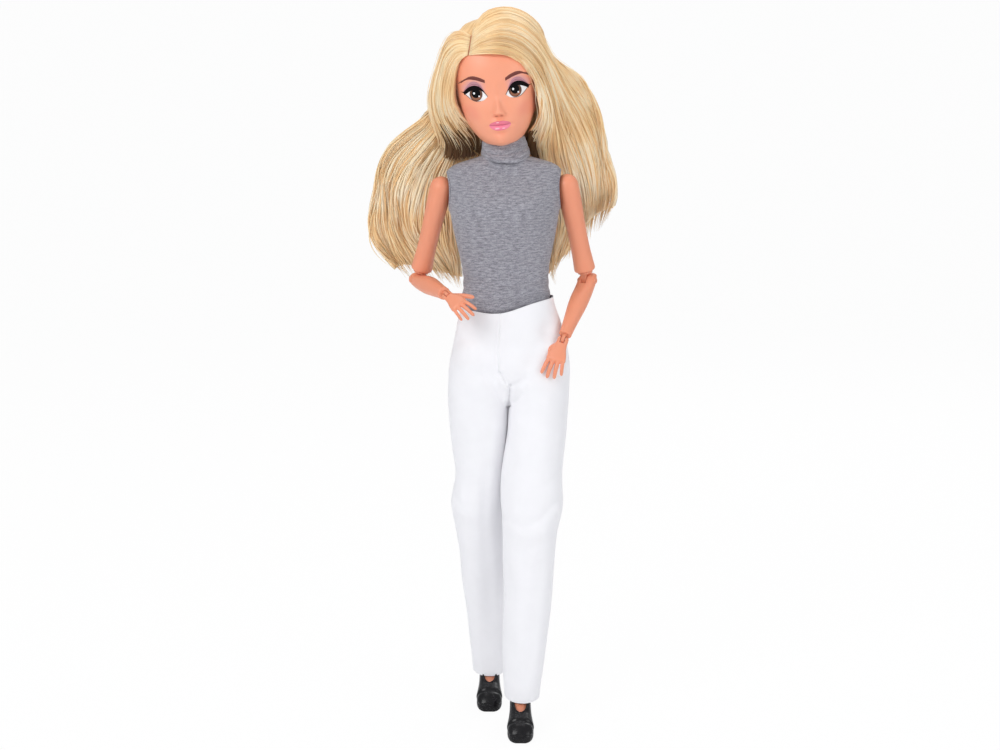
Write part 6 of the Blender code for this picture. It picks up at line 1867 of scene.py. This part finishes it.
HEEL_ROWS = (
    # height from the ankle, half width, front end, back end
    (-13, 3.3, -2.2, 8.2), (-16, 3.5, -1.2, 8.4), (-19, 3.6, -0.7, 8.3), (-22.4, 3.7, -0.3, 8.1),
    (-23, 3.6, -0.2, 8),
)
VAMP_EDGE, VAMP_LIP = -16.6, 0.5
WELT_LEVEL = -19.7
OPENING = ((-2.9, -3), (-3.1, -6.4), (-2.6, -9.4), (-1.5, -12.2), (0, -13.2), (1.5, -12.2), (2.6, -9.4),
           (3.1, -6.4), (2.9, -3))


def boot_section(row, angles):
    """One upright slice across the boot: a flat sole below, a rounded upper above."""
    half, under, widest, top = row
    c, s = np.cos(angles), np.sin(angles)
    x = half * np.sign(c) * np.abs(c) ** np.where(s < 0, 0.28, 0.82)
    z = widest + np.where(s < 0, (widest - under) * np.sign(s) * np.abs(s) ** 0.55,
                          (top - widest) * np.abs(s) ** 0.95)
    return x, z


def make_boot(side, glossy):
    place = foot_place(side)
    angles = round_turn(104)
    levels = np.unique(np.concatenate([np.linspace(9.05, -22.1, 120), [r[0] for r in BOOT_ROWS]]))[::-1]
    grid = []
    for y in levels:
        x, z = boot_section(table_row(BOOT_ROWS, y), angles)
        upper = ease(WELT_LEVEL + 0.2, WELT_LEVEL + 1.6, z)
        edge = VAMP_EDGE + 0.03 * x**2 + 0.3 * bump_at(x, 0, 1.2)
        lip = VAMP_LIP * ease(edge - 0.25, edge + 0.15, y) * ease(edge + 9, edge, y)
        lip -= 0.35 * bump_at(y, edge - 0.75, 0.8)
        grow = 1 + upper * lip / 11
        x = x * np.where(y < -9, grow, 1)
        z = z + upper * lip * np.clip(np.sin(angles), 0, 1) * (1.0 if y < -3 else 0)
        groove = 0.28 * bump_at(z, WELT_LEVEL, 0.22) * ease(-9.5, -12, y)
        x = x - np.sign(x) * groove * ease(0.5, 2, np.abs(x))
        push = np.full_like(x, y) + groove * ease(3.2, 0.5, np.abs(x)) * ease(-18, -20.5, y)
        puff = 0.3 * bump_at(x, 0, 3) * bump_at(y, -19, 1.8) * np.clip(np.sin(angles), 0, 1)
        crease = 0.16 * bump_at(y, -12.6 + 0.1 * x, 0.5) + 0.12 * bump_at(y, -11.2 - 0.12 * x, 0.45)
        z = z + puff - crease * np.clip(np.sin(angles), 0, 1) * bump_at(x, 1, 3)
        grid.append(np.stack([x, push, z], axis=1))
    pile = capped(grid, flip=False)
    heel = []
    square = round_turn(40)
    for z in np.linspace(HEEL_ROWS[0][0], HEEL_ROWS[-1][0], 14):
        half, front, back = table_row(HEEL_ROWS, z)
        x, y = oval_ring(square, half, (back - front) / 2, (back - front) / 2, 5)
        heel.append(at_level(x, y + (front + back) / 2, z))
    pile.grid(np.array(heel), wrap=True, caps=(True, True), flip=True)
    made = pile.piece(side + "_platform_boot", glossy, place)

    outline = polyline([(x, y, 0) for x, y in OPENING], 40)
    outline = np.concatenate([outline, [(2.2, 5, 0), (-2.2, 5, 0)]])
    cutter = Pile()
    cutter.grid([[(x, y, z) for x, y, _ in outline] for z in (-15.6, 0)], wrap=True, caps=(True, True))
    tool = cutter.piece("opening_tool", glossy, place)
    apply_modifier(made, "BOOLEAN", operation="DIFFERENCE", object=tool, solver="EXACT", use_self=True)
    discard(tool)
    settle(made, side + "_foot", "boot_vinyl", side + "_boot")

    rim = Pile()
    path = polyline([(x, y, 0) for x, y in OPENING], 60)[14:-14]
    lift = []
    for x, y, _ in path:
        row = table_row(BOOT_ROWS, y)
        slice_x, slice_z = boot_section(row, np.linspace(0.02, math.pi / 2, 60))
        lip = VAMP_LIP * float(ease(VAMP_EDGE + 9, VAMP_EDGE, y))
        lift.append((x, y, float(np.interp(abs(x), slice_x[::-1], slice_z[::-1])) + lip * 0.9))
    tube(rim, lift, 0.3, 0.26, 8)
    piping = rim.piece(side + "_boot_opening_edge", glossy, place)
    settle(piping, side + "_foot", "boot_vinyl")


def make_boots(boots):
    glossy = boot_finish(boots)
    for side in SIDES:
        make_boot(side, glossy)


# Stage


WHITE = (1.0, 1.0, 1.0, 1.0)


def for_camera(tree, lit, plain, share):
    """The lit shader for the lamps, mixed by a share with a plain one where the camera looks."""
    seen = tree.nodes.new("ShaderNodeLightPath").outputs["Is Camera Ray"]
    mixed = node(tree, "MixShader", i0=times(tree, seen, share), i1=lit.outputs[0], i2=plain.outputs[0])
    return mixed.outputs[0]


def make_stage(stage):
    """Pale floor that bends up into a backdrop, soft light and the camera."""
    path = [(-1.2, 0.0), (1.0, 0.0)]
    path += [(1.0 + 0.6 * math.sin(a), 0.6 - 0.6 * math.cos(a)) for a in np.linspace(0, TAU / 4, 14)[1:]]
    path += [(1.6, 2.4)]
    rows = np.array([[(x, y, z) for x in np.linspace(-3.0, 3.0, 9)] for y, z in path]) / MM
    pile = Pile()
    pile.grid(rows)
    sweep = Finish("paper_sweep", 0.85)
    cloud = noise(sweep.tree, sweep.place, 40.0, 3.0, 0.5)
    sweep.colour(blended(sweep.tree, cloud, shade(tuple(stage.floor), 0.99), tuple(stage.floor)))
    floor = pile.piece("paper_sweep", sweep.material)
    floor.location.z = -0.02 * MM
    glow = node(sweep.tree, "Emission", Color=WHITE, Strength=1.0)
    mixed = for_camera(sweep.tree, sweep.shader, glow, 0.95)
    sweep.tree.links.new(mixed, sweep.tree.nodes["Material Output"].inputs["Surface"])

    world = bpy.context.scene.world or bpy.data.worlds.new("soft_room")
    bpy.context.scene.world = world
    world.use_nodes = True
    tree = world.node_tree
    tree.nodes.clear()
    room = node(tree, "Background", Color=(0.95, 0.97, 1.0, 1.0), Strength=0.50)
    white = node(tree, "Background", Color=WHITE, Strength=1.0)
    out = tree.nodes.new("ShaderNodeOutputWorld")
    tree.links.new(for_camera(tree, room, white, 1.0), out.inputs[0])

    lamps = (
        # name, place, aimed at, width, height, power in watts
        ("key_light", (-0.55, -0.75, 0.75), (0, 0, 0.17), 0.55, 0.55, 4.9),
        ("fill_light", (0.75, -0.60, 0.45), (0, 0, 0.17), 0.6, 0.6, 2.1),
        ("top_light", (0.0, 0.15, 0.95), (0, 0, 0.1), 0.7, 0.7, 2.2),
        ("back_light", (0.35, 0.7, 0.6), (0, 0, 0.2), 0.4, 0.4, 1.4),
    )
    for name, spot, aim, wide, high, power in lamps:
        lamp = bpy.data.lights.new(name, "AREA")
        lamp.shape, lamp.size, lamp.size_y, lamp.energy = "RECTANGLE", wide, high, power
        made = bpy.data.objects.new(name, lamp)
        made.location = spot
        made.rotation_euler = (Vector(aim) - Vector(spot)).to_track_quat("-Z", "Y").to_euler()
        bpy.context.scene.collection.objects.link(made)

    lens = bpy.data.cameras.new("front_camera")
    lens.lens, lens.sensor_width = stage.lens_mm, 36.0
    lens.clip_start, lens.clip_end = 0.01, 20.0
    camera = bpy.data.objects.new("front_camera", lens)
    bpy.context.scene.collection.objects.link(camera)
    camera.location = (CAMERA_ACROSS * MM, -CAMERA_AWAY * MM, stage.camera_height)
    pitch = Matrix.Rotation(math.radians(90 - CAMERA_DOWN), 4, "X")
    roll = Matrix.Rotation(math.radians(CAMERA_ROLL), 4, "Z")
    camera.rotation_euler = (pitch @ roll).to_euler()
    bpy.context.scene.camera = camera
    bpy.context.scene.view_settings.view_transform = "Standard"


CAMERA_ACROSS, CAMERA_AWAY = 3.118, 800.0
CAMERA_DOWN, CAMERA_ROLL = 10.4597, 0.3853


# Operators, panel and main


class DOLL_OT_stage(bpy.types.Operator):
    """Set up the floor, the light and the camera"""

    bl_idname = "doll.make_stage"
    bl_label = "Stage"

    def execute(self, context):
        make_stage(context.scene.doll_stage)
        return {"FINISHED"}


class DOLL_OT_head(bpy.types.Operator):
    """Make the vinyl head with its painted face"""

    bl_idname = "doll.make_head"
    bl_label = "Head and face paint"

    def execute(self, context):
        make_head(context.scene.doll_face)
        return {"FINISHED"}


class DOLL_OT_arms(bpy.types.Operator):
    """Make the arms and hands and finish the joints"""

    bl_idname = "doll.make_arms"
    bl_label = "Arms, hands and joints"

    def execute(self, context):
        make_arms(context.scene.doll_face)
        finish_frame_nodes(context.scene.doll_face)
        return {"FINISHED"}


class DOLL_OT_hair(bpy.types.Operator):
    """Comb the hair over the head and down behind the shoulders"""

    bl_idname = "doll.make_hair"
    bl_label = "Hair"

    def execute(self, context):
        make_hair(context.scene.doll_hair)
        return {"FINISHED"}


class DOLL_OT_top(bpy.types.Operator):
    """Knit the sleeveless top and its folded collar"""

    bl_idname = "doll.make_top"
    bl_label = "Knit top"

    def execute(self, context):
        make_top(context.scene.doll_clothes)
        return {"FINISHED"}


class DOLL_OT_trousers(bpy.types.Operator):
    """Sew the trousers, split into a seat that rides on the pelvis and two legs"""

    bl_idname = "doll.make_trousers"
    bl_label = "Trousers"

    def execute(self, context):
        make_trousers(context.scene.doll_clothes)
        return {"FINISHED"}


class DOLL_OT_boots(bpy.types.Operator):
    """Mould the platform ankle boots"""

    bl_idname = "doll.make_boots"
    bl_label = "Boots"

    def execute(self, context):
        make_boots(context.scene.doll_boots)
        return {"FINISHED"}


OPERATORS = (DOLL_OT_stage, DOLL_OT_head, DOLL_OT_arms, DOLL_OT_hair, DOLL_OT_top, DOLL_OT_trousers,
             DOLL_OT_boots)


class DOLL_PT_pieces(bpy.types.Panel):
    """Lists the doll's pieces in the sidebar"""

    bl_label = "Jointed Doll"
    bl_idname = "DOLL_PT_pieces"
    bl_space_type = "VIEW_3D"
    bl_region_type = "UI"
    bl_category = "Doll"

    def draw(self, context):
        for operator in OPERATORS:
            self.layout.operator(operator.bl_idname)
        for name, group in SETTINGS.items():
            box = self.layout.box()
            box.label(text=group.__doc__)
            for key in group.__annotations__:
                box.prop(getattr(context.scene, name), key)


def register():
    for group in SETTINGS.values():
        bpy.utils.register_class(group)
    for name, group in SETTINGS.items():
        setattr(bpy.types.Scene, name, bpy.props.PointerProperty(type=group))
    for operator in OPERATORS:
        bpy.utils.register_class(operator)
    bpy.utils.register_class(DOLL_PT_pieces)


def unregister():
    bpy.utils.unregister_class(DOLL_PT_pieces)
    for operator in OPERATORS:
        bpy.utils.unregister_class(operator)
    for name, group in SETTINGS.items():
        delattr(bpy.types.Scene, name)
        bpy.utils.unregister_class(group)


def main():
    register()
    bpy.ops.doll.make_stage()
    bpy.ops.doll.make_head()
    bpy.ops.doll.make_arms()
    bpy.ops.doll.make_hair()
    bpy.ops.doll.make_top()
    bpy.ops.doll.make_trousers()
    bpy.ops.doll.make_boots()


if __name__ == "__main__":
    main()
